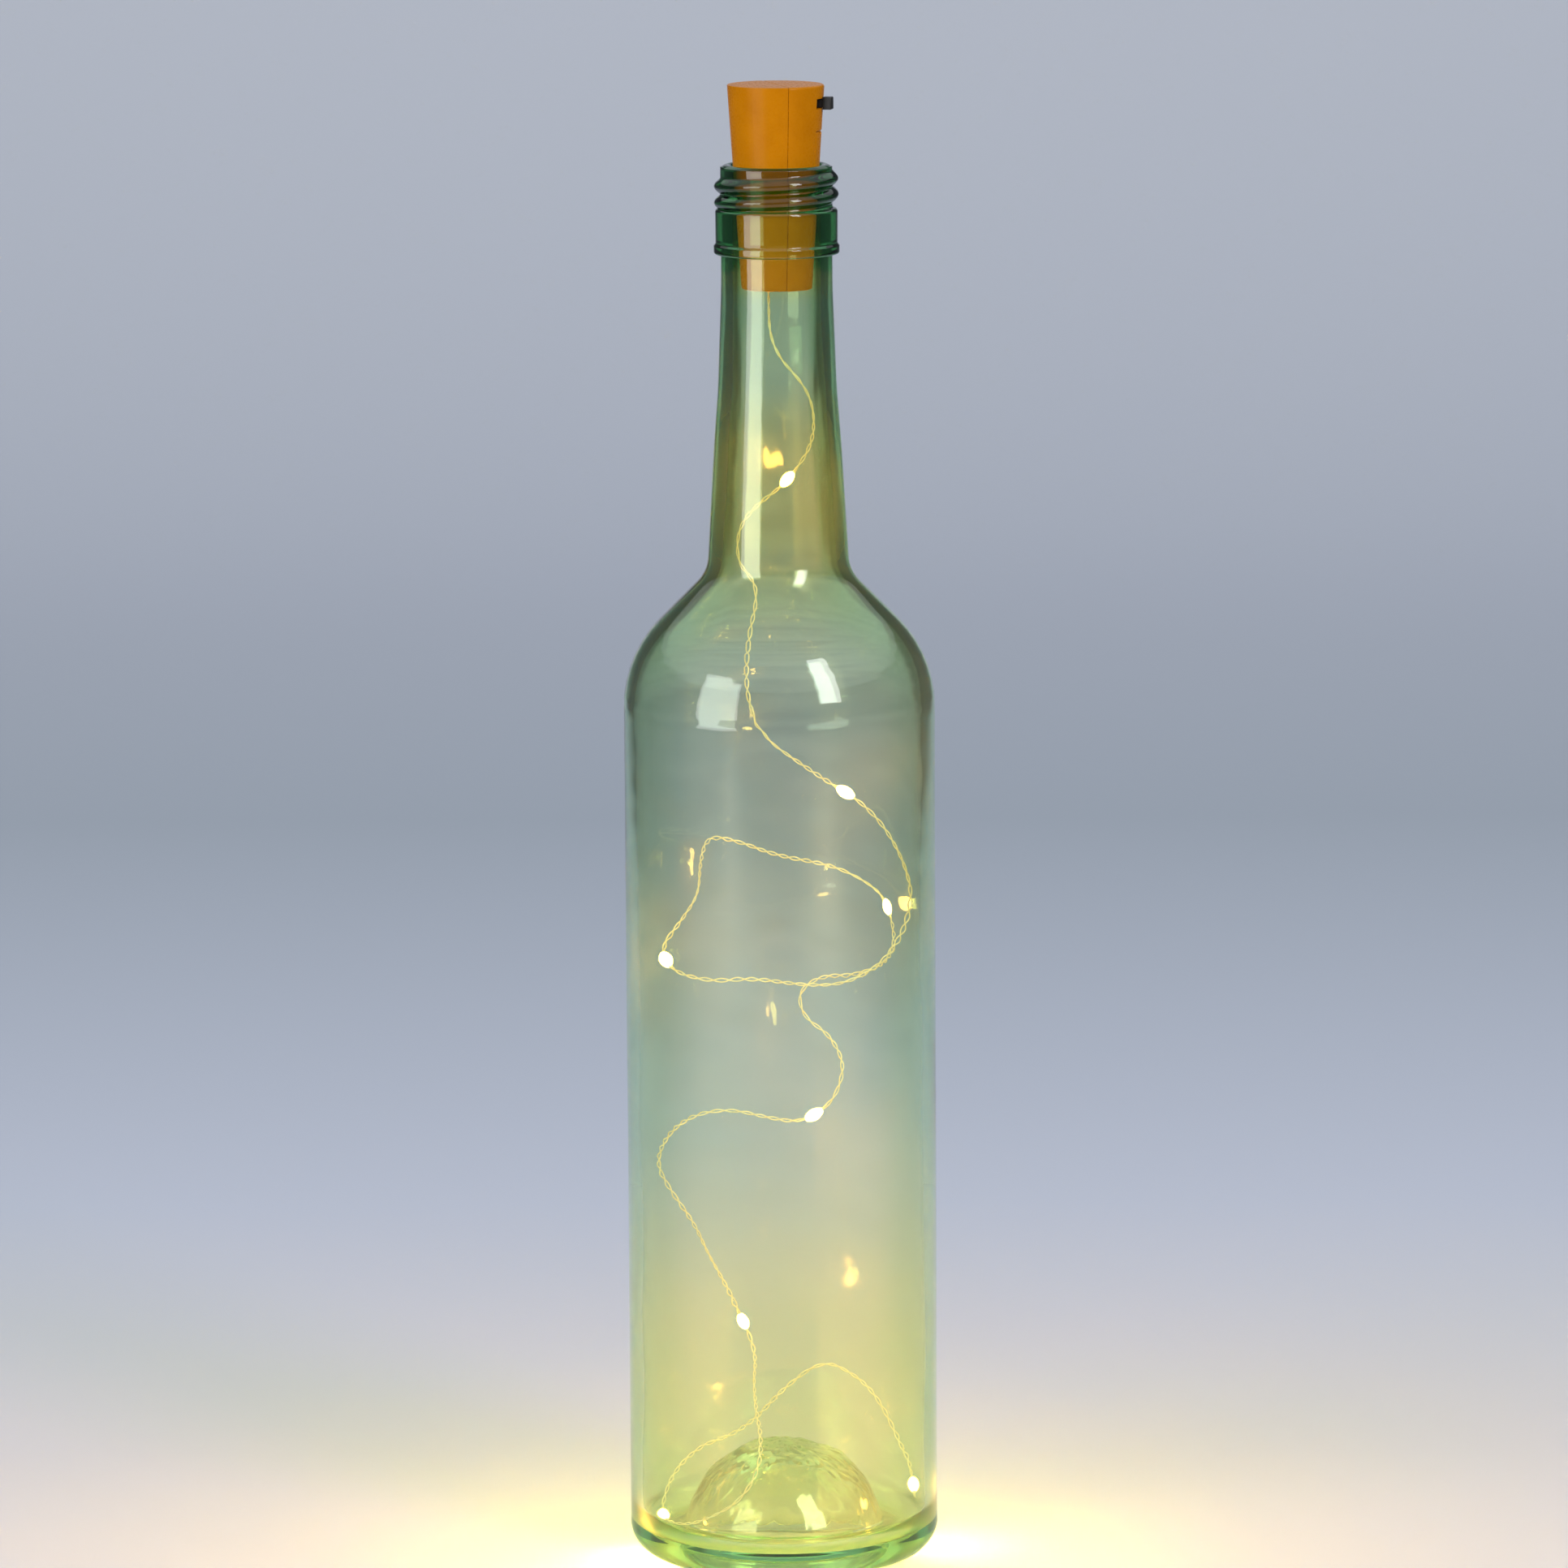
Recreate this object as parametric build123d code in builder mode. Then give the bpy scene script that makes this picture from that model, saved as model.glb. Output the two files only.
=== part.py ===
"""Cork bottle light: a cork-shaped battery lamp in a wine bottle, its wire of lights inside.

Millimetres. +Z is up, the origin is the centre of the bottle's foot, and -Y is the front.
An azimuth is an angle about Z, measured from the front (-Y) towards the right (+X).
"""

import os
from math import atan2, cos, pi, radians, sin, tan

from build123d import *

# ---- bottle: driving dimensions -------------------------------------------------------
BODY_DIA = 75.0
BOTTLE_HEIGHT = 338.5
WALL = 3.1
HEEL_RADIUS = 7.5
FOOT_INNER = 27.0
SHOULDER_START = 207.9
SHOULDER_RADIUS = 30.4
SHOULDER_ANGLE = 45.0
SLOPE_LENGTH = 12.7
ROOT_RADIUS = 9.0
ROOT_ANGLE = 43.0
NECK_RADIUS = 13.35
NECK_STRAIGHT_FROM = 309.0
NECK_POINTS = [(15.25, 272.0), (14.25, 285.0)]
INNER_NECK_POINTS = [(12.2, 272.0), (11.35, 285.0)]
COLLAR_BOTTOM = 317.2
COLLAR_TOP = 328.0
COLLAR_RADIUS = 14.65
BEAD_RADIUS = 15.05
BEAD_HEIGHT = 2.0
COLLAR_CHAMFER = 0.7
LIP_STEP = 0.2
BORE_RADIUS = 10.53
BORE_BOTTOM = 300.0
LIP_ROUND = 1.0
FLOOR_THICKNESS = 6.2
INNER_HEEL = 7.0
PUNT_INSIDE_TOP = 27.0
PUNT_INSIDE_RADIUS = 24.3
PUNT_INSIDE_RIM = 6.8
PUNT_UNDER_TOP = 22.3
PUNT_UNDER_RADIUS = 25.8
PUNT_UNDER_RIM = 1.0

# ---- cork housing ---------------------------------------------------------------------
CORK_BOTTOM = 308.9
CORK_TOP = 357.5
CORK_RADIUS_BOTTOM = 8.4
CORK_RADIUS_TOP = 11.6
CORK_WALL = 1.2
CORK_ROOF = 1.4
CORK_FLOOR = 1.2
CORK_TOP_ROUND = 0.9
CORK_BOTTOM_ROUND = 0.6
SEAM_AZIMUTH = 15.6
LIP_THICKNESS = 0.5
LIP_REACH = 1.2
LIP_CLEARANCE = 0.1
LOWER_LIP = (311.5, 319.0)
UPPER_LIP = (350.2, 355.2)
EXIT = (-2.0, -1.0)
EXIT_HOLE_RADIUS = 1.1

# ---- battery cover, bay and cells -----------------------------------------------------
COVER_AZIMUTH = 95.0
COVER_TOP = 346.5
COVER_WIDTH = 11.7
COVER_GAP = 0.1
FLANGE_FROM = 4.75
FLANGE_GAP = 0.4
TAB_WIDTH = 6.0
TAB_THICKNESS = 0.7
TAB_RISE = 1.7
TAB_ROOT = 2.2
TAB_CLEARANCE = 0.15
LEDGE_GAP = 7.0
NOTCH_WIDTH = 1.0
NOTCH_DEPTH = 0.5
NOTCH_OFFSET = -3.7
CELL_DIA = 11.6
CELL_HEIGHT = 5.4
CELL_COUNT = 3
CELL_OFFSET = 1.2
CELL_CAP = 0.5
CELL_CAP_INSET = 1.6
CELL_CRIMP = 0.4
HOLDER_BOTTOM = 320.0
BAY_FLOOR = 321.2
LEAF_HEIGHT = 4.0
CONTACT_THICKNESS = 0.4
HOLDER_ROOF = 1.2
HOLDER_INSET = 1.4
HOLDER_FRONT = 4.5
BAY_RADIUS = 6.0
CHANNEL_WIDTH = 3.6
CHANNEL_DEPTH = 5.9
CHANNEL_WIRE = 6.9
LEAF_THICKNESS = 0.35
LEAF_WIDTH = 4.0
LEAF_TAIL = -3.8
LEAF_DROP = 2.3
LEAF_SLOT_GAP = 0.15
LEAF_RISE = (-2.9, 1.2)
LEAF_TIP = 2.6
CONTACT_REACH = 3.6
PLATE_TAIL = -5.6
PLATE_WIDTH = 3.0

# ---- circuit board and switch ---------------------------------------------------------
BOARD_BOTTOM = 348.6
BOARD_THICKNESS = 1.0
BOARD_RADIUS = 9.4
LEDGE_INNER = 9.0
LEDGE_THICKNESS = 1.0
SWITCH_AZIMUTH = 75.0
SWITCH_TRAVEL = 2.5
SWITCH_SIZE = (8.6, 3.6, 5.0)
SWITCH_FRONT = 7.8
LEVER_SIZE = 1.9
LEVER_HEIGHT = 353.1
LEVER_CLEARANCE = 0.15
LEVER_ROOT = 1.4
SLOT_SIZE = (5.8, 2.3)
KNOB_SIZE = (2.4, 3.0)
KNOB_INNER = 11.46
KNOB_OUTER = 13.6
KNOB_ROUND = 0.35
KNOB_SOCKET = 0.8
TERMINAL_PITCH = 2.5
TERMINAL_SIZE = 0.5
TERMINAL_GAP = 0.1
RESISTOR_SIZE = (3.2, 1.6, 0.6)
RESISTOR_OFFSET = 4.0
RESISTOR_CHAMFER = 0.1

# ---- light wire -----------------------------------------------------------------------
WIRE_DIA = 0.8
LEAD_OFFSET = 0.8
LEAD_BEND = 1.3
LEAD_DROP = 1.8
FEED_RISE = 4.4
FEED_ENTRY = 1.5
SEAL_POINTS = [(2.3, 1.2), (2.0, 2.7), (1.3, 3.6)]
CORNER_SHARE = 0.45
BEAD_LENGTH = 4.6
BEAD_DIA = 2.8
BEAD_END_RADIUS = 0.55
BEAD_CLEARANCE = 0.2
CHIP_SIZE = (1.6, 0.8, 0.6)

# The light wire's route, from the cork down through the bottle to the last light.
ROUTE = [
    (-2.0, -1.0, 308.9),
    (-2.0, -1.0, 303.5),
    (-1.7, -2.4, 298.0),
    (0.5, -4.4, 292.8),
    (4.3, -6.6, 288.7),
    (7.6, -5.4, 283.5),
    (8.9, -3.8, 278.0),
    (8.5, -2.0, 272.0),
    (5.0, 0.0, 266.0),
    (-1.0, 0.5, 260.0),
    (-6.8, 0.2, 255.2),
    (-10.2, -0.5, 249.5),
    (-10.0, -1.0, 243.5),
    (-6.3, -1.5, 239.3),
    (-5.0, -2.0, 233.5),
    (-6.8, -2.6, 226.0),
    (-7.8, -3.0, 217.5),
    (-7.2, -3.2, 208.5),
    (-3.5, -4.5, 200.8),
    (3.5, -7.5, 196.2),
    (12.0, -13.0, 191.5),
    (19.0, -16.0, 187.5),
    (25.0, -16.5, 180.5),
    (29.0, -13.5, 172.0),
    (31.3, -9.5, 163.0),
    (28.5, -12.0, 153.5),
    (22.5, -18.0, 147.5),
    (14.0, -23.5, 144.3),
    (4.0, -26.0, 145.0),
    (-6.5, -26.5, 146.8),
    (-16.5, -24.5, 145.6),
    (-25.5, -18.5, 147.0),
    (-28.0, -12.5, 151.5),
    (-25.0, -7.0, 156.0),
    (-19.8, 1.0, 161.8),
    (-19.8, 11.0, 168.2),
    (-18.0, 20.5, 172.8),
    (-11.5, 27.5, 170.8),
    (-2.0, 30.0, 167.0),
    (8.5, 29.5, 164.8),
    (18.0, 25.5, 163.0),
    (25.0, 19.5, 158.3),
    (28.0, 13.5, 153.7),
    (28.3, 5.5, 149.0),
    (25.0, -3.5, 145.8),
    (17.5, -12.5, 144.5),
    (9.3, -19.0, 145.8),
    (4.0, -22.2, 142.6),
    (5.2, -23.8, 136.8),
    (11.3, -25.8, 132.8),
    (14.6, -27.2, 126.2),
    (13.2, -27.8, 119.8),
    (10.5, -27.5, 115.5),
    (4.5, -28.5, 112.0),
    (-3.0, -28.8, 113.2),
    (-12.0, -27.3, 115.2),
    (-20.5, -23.5, 113.2),
    (-26.8, -18.0, 107.0),
    (-29.6, -12.5, 98.8),
    (-26.5, -8.5, 91.5),
    (-21.8, -4.7, 83.0),
    (-18.3, 1.2, 74.2),
    (-14.3, 7.5, 65.2),
    (-11.0, 12.5, 57.0),
    (-8.0, 15.0, 50.0),
    (-6.3, 11.0, 45.0),
    (-6.8, 1.5, 40.8),
    (-6.3, -8.3, 36.7),
    (-5.0, -17.5, 31.8),
    (-5.8, -24.8, 25.8),
    (-10.2, -27.3, 18.8),
    (-17.0, -25.2, 14.2),
    (-23.5, -20.5, 10.8),
    (-28.0, -14.8, 10.0),
    (-29.5, -7.2, 12.2),
    (-27.8, 0.5, 17.8),
    (-22.5, 9.0, 22.5),
    (-14.0, 16.0, 23.8),
    (-5.8, 20.5, 27.5),
    (1.0, 22.5, 35.5),
    (9.5, 22.0, 41.8),
    (18.0, 20.5, 38.5),
    (25.0, 16.5, 32.5),
    (29.8, 9.0, 25.0),
    (31.6, 1.0, 18.6),
    (31.3, -6.5, 14.2),
]
# Each light sits at the middle of the run that starts at this point of the route.
LIGHT_RUNS = [8, 20, 31, 41, 52, 63, 73, 84]

# ---- worked out from the dimensions above ---------------------------------------------
BODY_RADIUS = BODY_DIA / 2
CORK_TAPER = (CORK_RADIUS_TOP - CORK_RADIUS_BOTTOM) / (CORK_TOP - CORK_BOTTOM)
CELLS_BOTTOM = BAY_FLOOR + LEAF_HEIGHT
CELLS_TOP = CELLS_BOTTOM + CELL_COUNT * CELL_HEIGHT
HOLDER_TOP = CELLS_TOP + CONTACT_THICKNESS + HOLDER_ROOF
BOARD_TOP = BOARD_BOTTOM + BOARD_THICKNESS
OUT_OF_REACH = 20.0


def cork_radius(height):
    """Radius of the cork's outside at a height."""
    return CORK_RADIUS_BOTTOM + CORK_TAPER * (height - CORK_BOTTOM)


def outward(azimuth):
    """Unit vector from the axis towards an azimuth."""
    return Vector(sin(radians(azimuth)), -cos(radians(azimuth)), 0)


def side_plane(azimuth, height=0.0, offset=0.0):
    """Upright plane facing an azimuth: its X runs round the cork and its Y runs up."""
    facing = outward(azimuth)
    across = Vector(cos(radians(azimuth)), sin(radians(azimuth)), 0)
    return Plane(
        origin=Vector(0, 0, height) + facing * offset, x_dir=across, z_dir=facing
    )


def cork_section(inset, bottom, top, rounds=(0.0, 0.0)):
    """Half section of the cork, drawn inside its outside by inset."""
    with BuildSketch(Plane.XZ) as section:
        Polygon(
            (0, bottom),
            (cork_radius(bottom) - inset, bottom),
            (cork_radius(top) - inset, top),
            (0, top),
            align=None,
        )
        corners = section.vertices().filter_by(lambda corner: corner.X > 1)
        for corner, round_radius in zip(corners.sort_by(Axis.Z), rounds):
            if round_radius:
                fillet(corner, radius=round_radius)
    return section.sketch


def hollow_cork():
    """The whole hollow cork with its ledge for the board, before it is split."""
    outside = cork_section(
        0, CORK_BOTTOM, CORK_TOP, (CORK_BOTTOM_ROUND, CORK_TOP_ROUND)
    )
    inside = cork_section(CORK_WALL, CORK_BOTTOM + CORK_FLOOR, CORK_TOP - CORK_ROOF)
    with BuildPart() as cork:
        revolve(outside, axis=Axis.Z)
        revolve(inside, axis=Axis.Z, mode=Mode.SUBTRACT)
        with BuildSketch(Plane.XY.offset(BOARD_BOTTOM - LEDGE_THICKNESS)):
            Circle(cork_radius(BOARD_BOTTOM) - CORK_WALL / 2)
            Circle(LEDGE_INNER, mode=Mode.SUBTRACT)
            # A gap in the ledge, where the cover's tab comes up behind the wall.
            gap_centre = outward(COVER_AZIMUTH) * BOARD_RADIUS
            with Locations((gap_centre.X, gap_centre.Y)):
                Rectangle(
                    LEDGE_GAP,
                    4 * (BOARD_RADIUS - LEDGE_INNER) + CORK_WALL,
                    rotation=COVER_AZIMUTH,
                    mode=Mode.SUBTRACT,
                )
        extrude(amount=LEDGE_THICKNESS)
    return cork.part


def seam_lip(low, high, inset, keep_up_to):
    """A band inside the cork's wall that reaches from the left half over the seam."""
    with BuildPart() as lip:
        revolve(cork_section(inset, low, high), axis=Axis.Z)
        core = cork_section(CORK_WALL + LIP_CLEARANCE + LIP_THICKNESS, low, high)
        revolve(core, axis=Axis.Z, mode=Mode.SUBTRACT)
        split(bisect_by=SEAM.offset(keep_up_to), keep=Keep.BOTTOM)
        split(bisect_by=SEAM.offset(-LIP_REACH), keep=Keep.TOP)
    return lip.part


def dome_arc(top, rim_radius, rim_height):
    """Arc of a dome's half section, from its top on the axis to its rim."""
    rise = top - rim_height
    radius = (rim_radius**2 + rise**2) / (2 * rise)
    half_angle = atan2(rim_radius, radius - rise) / 2
    middle = (radius * sin(half_angle), top - radius * (1 - cos(half_angle)))
    return ThreePointArc((0, top), middle, (rim_radius, rim_height))


SEAM = side_plane(SEAM_AZIMUTH + 90)
COVER_FACE = side_plane(COVER_AZIMUTH)
parts = []

# ---- bottle: blown glass, with a punt, a round heel, a slim neck and a collar ----------
with BuildPart() as bottle:
    with BuildSketch(Plane.XZ):
        with BuildLine():
            under = dome_arc(PUNT_UNDER_TOP, PUNT_UNDER_RADIUS, PUNT_UNDER_RIM)
            foot = Polyline(
                under @ 1, (FOOT_INNER, 0), (BODY_RADIUS - HEEL_RADIUS, 0)
            )
            heel = JernArc(foot @ 1, (1, 0), HEEL_RADIUS, 90)
            side = Line(heel @ 1, (BODY_RADIUS, SHOULDER_START))
            shoulder = JernArc(side @ 1, (0, 1), SHOULDER_RADIUS, SHOULDER_ANGLE)
            slope = Line(shoulder @ 1, shoulder @ 1 + (shoulder % 1) * SLOPE_LENGTH)
            root = JernArc(slope @ 1, slope % 1, ROOT_RADIUS, -ROOT_ANGLE)
            neck = Spline(
                root @ 1,
                *NECK_POINTS,
                (NECK_RADIUS, NECK_STRAIGHT_FROM),
                tangents=(root % 1, (0, 1)),
            )
            finish = Polyline(
                neck @ 1,
                (NECK_RADIUS, COLLAR_BOTTOM),
                (BEAD_RADIUS, COLLAR_BOTTOM),
                (BEAD_RADIUS, COLLAR_BOTTOM + BEAD_HEIGHT),
                (COLLAR_RADIUS, COLLAR_BOTTOM + BEAD_HEIGHT + COLLAR_CHAMFER),
                (COLLAR_RADIUS, COLLAR_TOP - COLLAR_CHAMFER),
                (NECK_RADIUS + LIP_STEP, COLLAR_TOP),
                (NECK_RADIUS, BOTTLE_HEIGHT - LIP_ROUND),
                (NECK_RADIUS - LIP_ROUND, BOTTLE_HEIGHT),
                (BORE_RADIUS + LIP_ROUND, BOTTLE_HEIGHT),
                (BORE_RADIUS, BOTTLE_HEIGHT - LIP_ROUND),
                (BORE_RADIUS, BORE_BOTTOM),
            )
            wall = Line(
                (BODY_RADIUS - WALL, FLOOR_THICKNESS + INNER_HEEL),
                (BODY_RADIUS - WALL, SHOULDER_START),
            )
            inner_shoulder = JernArc(
                wall @ 1, (0, 1), SHOULDER_RADIUS - WALL, SHOULDER_ANGLE
            )
            inner_slope = Line(
                inner_shoulder @ 1,
                inner_shoulder @ 1 + (inner_shoulder % 1) * SLOPE_LENGTH,
            )
            inner_root = JernArc(
                inner_slope @ 1, inner_slope % 1, ROOT_RADIUS + WALL, -ROOT_ANGLE
            )
            inner_neck = Spline(
                inner_root @ 1,
                *INNER_NECK_POINTS,
                finish @ 1,
                tangents=(inner_root % 1, (0, 1)),
            )
            inner_heel = JernArc(wall @ 0, (0, -1), INNER_HEEL, -90)
            dome = dome_arc(PUNT_INSIDE_TOP, PUNT_INSIDE_RADIUS, PUNT_INSIDE_RIM)
            channel = Line(inner_heel @ 1, dome @ 1)
            thickness = Line(dome @ 0, under @ 0)
        make_face()
    revolve(axis=Axis.Z)
bottle.part.label = "bottle"
parts.append(bottle)

# ---- cork housing: two moulded halves that meet at a seam -----------------------------
with BuildPart() as cork_half_left:
    add(hollow_cork())
    split(bisect_by=SEAM, keep=Keep.BOTTOM)
    # A thin lip inside each end of the seam laps into the other half.
    for low, high in (LOWER_LIP, UPPER_LIP):
        add(seam_lip(low, high, CORK_WALL + LIP_CLEARANCE, LIP_REACH))
        add(seam_lip(low, high, CORK_WALL / 2, 0))
    with Locations((EXIT[0], EXIT[1], CORK_BOTTOM)):
        Cylinder(EXIT_HOLE_RADIUS, 4 * CORK_FLOOR, mode=Mode.SUBTRACT)
cork_half_left.part.label = "cork_half_left"
parts.append(cork_half_left)

with BuildPart() as cork_half_right:
    add(hollow_cork())
    split(bisect_by=SEAM, keep=Keep.TOP)
    # The bay opening is open at the bottom, so that its cover slides down and off.
    opening_height = COVER_TOP + COVER_GAP - CORK_BOTTOM + OUT_OF_REACH
    with BuildSketch(side_plane(COVER_AZIMUTH, 0, FLANGE_FROM - FLANGE_GAP)):
        with Locations((0, COVER_TOP + COVER_GAP - opening_height / 2)):
            Rectangle(COVER_WIDTH + 2 * COVER_GAP, opening_height)
    extrude(amount=OUT_OF_REACH, mode=Mode.SUBTRACT)
    # The slot that the switch's lever comes through.
    with BuildSketch(side_plane(SWITCH_AZIMUTH, LEVER_HEIGHT, SWITCH_FRONT)):
        Rectangle(*SLOT_SIZE)
    extrude(amount=OUT_OF_REACH, mode=Mode.SUBTRACT)
cork_half_right.part.label = "cork_half_right"
parts.append(cork_half_right)

# ---- battery cover: a slice of the cork's wall with a foot flange and a top tab --------
tab_inset = CORK_WALL + TAB_CLEARANCE
tab_bottom = COVER_TOP - TAB_ROOT
tab_top = COVER_TOP + TAB_RISE
# The tab is a strip of a smaller cone, so that it passes behind the wall above.
with BuildPart() as tab:
    revolve(cork_section(tab_inset, tab_bottom, tab_top), axis=Axis.Z)
    revolve(cork_section(CORK_WALL / 2, tab_bottom, COVER_TOP), axis=Axis.Z)
    core = cork_section(tab_inset + TAB_THICKNESS, tab_bottom, tab_top)
    revolve(core, axis=Axis.Z, mode=Mode.SUBTRACT)
    with BuildSketch(COVER_FACE):
        with Locations((0, COVER_TOP)):
            Rectangle(TAB_WIDTH, 4 * TAB_ROOT)
    extrude(amount=OUT_OF_REACH, mode=Mode.INTERSECT)

with BuildPart() as battery_cover:
    outside = cork_section(0, CORK_BOTTOM, COVER_TOP, (CORK_BOTTOM_ROUND, 0))
    revolve(outside, axis=Axis.Z)
    inside = cork_section(CORK_WALL, CORK_BOTTOM + CORK_FLOOR, COVER_TOP + 1)
    revolve(inside, axis=Axis.Z, mode=Mode.SUBTRACT)
    with BuildSketch(side_plane(COVER_AZIMUTH, CORK_BOTTOM, FLANGE_FROM)):
        Rectangle(COVER_WIDTH, 4 * (COVER_TOP - CORK_BOTTOM))
    extrude(amount=OUT_OF_REACH, mode=Mode.INTERSECT)
    add(tab.part)
    # A small notch in the top edge takes a fingernail.
    with BuildSketch(side_plane(COVER_AZIMUTH, COVER_TOP, FLANGE_FROM)):
        with Locations((NOTCH_OFFSET, 0)):
            Rectangle(NOTCH_WIDTH, 2 * NOTCH_DEPTH)
    extrude(amount=OUT_OF_REACH, mode=Mode.SUBTRACT)
battery_cover.part.label = "battery_cover"
parts.append(battery_cover)

# ---- battery holder: a moulded cradle, open towards the cover -------------------------
with BuildPart() as battery_holder:
    revolve(cork_section(HOLDER_INSET, HOLDER_BOTTOM, HOLDER_TOP), axis=Axis.Z)
    bay_height = CELLS_TOP + CONTACT_THICKNESS - BAY_FLOOR
    bay_centre = outward(COVER_AZIMUTH) * CELL_OFFSET
    with BuildSketch(Plane.XY.offset(BAY_FLOOR)):
        with Locations((bay_centre.X, bay_centre.Y)):
            Circle(BAY_RADIUS)
    extrude(amount=bay_height, mode=Mode.SUBTRACT)
    with BuildSketch(side_plane(COVER_AZIMUTH, BAY_FLOOR + bay_height / 2, CELL_OFFSET)):
        Rectangle(2 * BAY_RADIUS, bay_height)
    extrude(amount=OUT_OF_REACH, mode=Mode.SUBTRACT)
    # The front is cut back, clear of the sliding cover.
    with BuildSketch(side_plane(COVER_AZIMUTH, HOLDER_TOP, HOLDER_FRONT)):
        Rectangle(2 * OUT_OF_REACH, 4 * bay_height)
    extrude(amount=OUT_OF_REACH, mode=Mode.SUBTRACT)
    # Two wires run up this channel at the back, and the contact's tail in front of them.
    with BuildSketch(side_plane(COVER_AZIMUTH + 180, HOLDER_TOP, CHANNEL_DEPTH)):
        Rectangle(CHANNEL_WIDTH, 4 * bay_height)
    extrude(amount=OUT_OF_REACH, mode=Mode.SUBTRACT)
    with BuildSketch(side_plane(COVER_AZIMUTH + 180, CELLS_TOP, 0)):
        with Locations((0, (HOLDER_TOP - CELLS_TOP) / 2)):
            Rectangle(CHANNEL_WIDTH, HOLDER_TOP - CELLS_TOP)
    extrude(amount=OUT_OF_REACH, mode=Mode.SUBTRACT)
    # The leaf's tail goes down through this slot in the floor.
    with BuildSketch(side_plane(COVER_AZIMUTH, BAY_FLOOR, LEAF_TAIL - LEAF_SLOT_GAP)):
        Rectangle(LEAF_WIDTH + 2 * LEAF_SLOT_GAP, 4 * (BAY_FLOOR - HOLDER_BOTTOM))
    extrude(amount=LEAF_THICKNESS + 2 * LEAF_SLOT_GAP, mode=Mode.SUBTRACT)
battery_holder.part.label = "battery_holder"
parts.append(battery_holder)

# ---- button cells: a can with a smaller crimped cap on top, stacked -------------------
for number in range(CELL_COUNT):
    with BuildPart() as battery_cell:
        with BuildSketch(Plane.XY.offset(CELLS_BOTTOM + number * CELL_HEIGHT)):
            with Locations((bay_centre.X, bay_centre.Y)):
                Circle(CELL_DIA / 2)
        extrude(amount=CELL_HEIGHT - CELL_CAP)
        chamfer(battery_cell.edges().group_by(Axis.Z)[-1], length=CELL_CRIMP)
        with BuildSketch(Plane.XY.offset(CELLS_BOTTOM + (number + 1) * CELL_HEIGHT)):
            with Locations((bay_centre.X, bay_centre.Y)):
                Circle(CELL_DIA / 2 - CELL_CAP_INSET)
        extrude(amount=-CELL_CAP)
    battery_cell.part.label = f"battery_cell_{number + 1}"
    parts.append(battery_cell)

# ---- contacts: a sprung leaf under the cells, and a plate with a tail over them -------
# In this plane X runs outwards to the cover and Y runs up.
BAY_SECTION = Plane(
    origin=(0, 0, 0), x_dir=outward(COVER_AZIMUTH), z_dir=-COVER_FACE.x_dir
)
with BuildPart() as contact_leaf:
    with BuildSketch(BAY_SECTION):
        Polygon(
            (LEAF_TAIL, BAY_FLOOR - LEAF_DROP),
            (LEAF_TAIL + LEAF_THICKNESS, BAY_FLOOR - LEAF_DROP),
            (LEAF_TAIL + LEAF_THICKNESS, BAY_FLOOR),
            (CONTACT_REACH, BAY_FLOOR),
            (CONTACT_REACH, BAY_FLOOR + LEAF_THICKNESS),
            (LEAF_RISE[0], BAY_FLOOR + LEAF_THICKNESS),
            (LEAF_RISE[1], CELLS_BOTTOM - LEAF_THICKNESS),
            (LEAF_TIP, CELLS_BOTTOM - LEAF_THICKNESS),
            (LEAF_TIP, CELLS_BOTTOM),
            (LEAF_RISE[1] - LEAF_THICKNESS / 2, CELLS_BOTTOM),
            (LEAF_TAIL, BAY_FLOOR + LEAF_THICKNESS),
            align=None,
        )
    extrude(amount=LEAF_WIDTH / 2, both=True)
contact_leaf.part.label = "contact_leaf"
parts.append(contact_leaf)

with BuildPart() as contact_plate:
    with BuildSketch(BAY_SECTION):
        Polygon(
            (PLATE_TAIL, CELLS_TOP),
            (CONTACT_REACH, CELLS_TOP),
            (CONTACT_REACH, CELLS_TOP + CONTACT_THICKNESS),
            (PLATE_TAIL + CONTACT_THICKNESS, CELLS_TOP + CONTACT_THICKNESS),
            (PLATE_TAIL + CONTACT_THICKNESS, BOARD_BOTTOM),
            (PLATE_TAIL, BOARD_BOTTOM),
            align=None,
        )
    extrude(amount=PLATE_WIDTH / 2, both=True)
contact_plate.part.label = "contact_plate"
parts.append(contact_plate)

# ---- slide switch: body, three terminals, and the lever with its cap -------------------
switch_length, switch_depth, switch_height = SWITCH_SIZE
terminal_places = [
    side_plane(SWITCH_AZIMUTH, BOARD_BOTTOM, SWITCH_FRONT - switch_depth / 2)
    * Location((step * TERMINAL_PITCH, 0, 0))
    for step in (-1, 0, 1)
]
with BuildPart() as switch_terminals:
    for place in terminal_places:
        with Locations(place):
            Box(TERMINAL_SIZE, 2 * BOARD_THICKNESS, TERMINAL_SIZE / 2)
switch_terminals.part.label = "switch_terminals"

with BuildPart() as circuit_board:
    with BuildSketch(Plane.XY.offset(BOARD_BOTTOM)):
        Circle(BOARD_RADIUS)
    extrude(amount=BOARD_THICKNESS)
    for place in terminal_places:
        with Locations(place):
            Box(
                TERMINAL_SIZE + 2 * TERMINAL_GAP,
                4 * BOARD_THICKNESS,
                TERMINAL_SIZE / 2 + 2 * TERMINAL_GAP,
                mode=Mode.SUBTRACT,
            )
circuit_board.part.label = "circuit_board"
parts += [circuit_board, switch_terminals]

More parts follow.
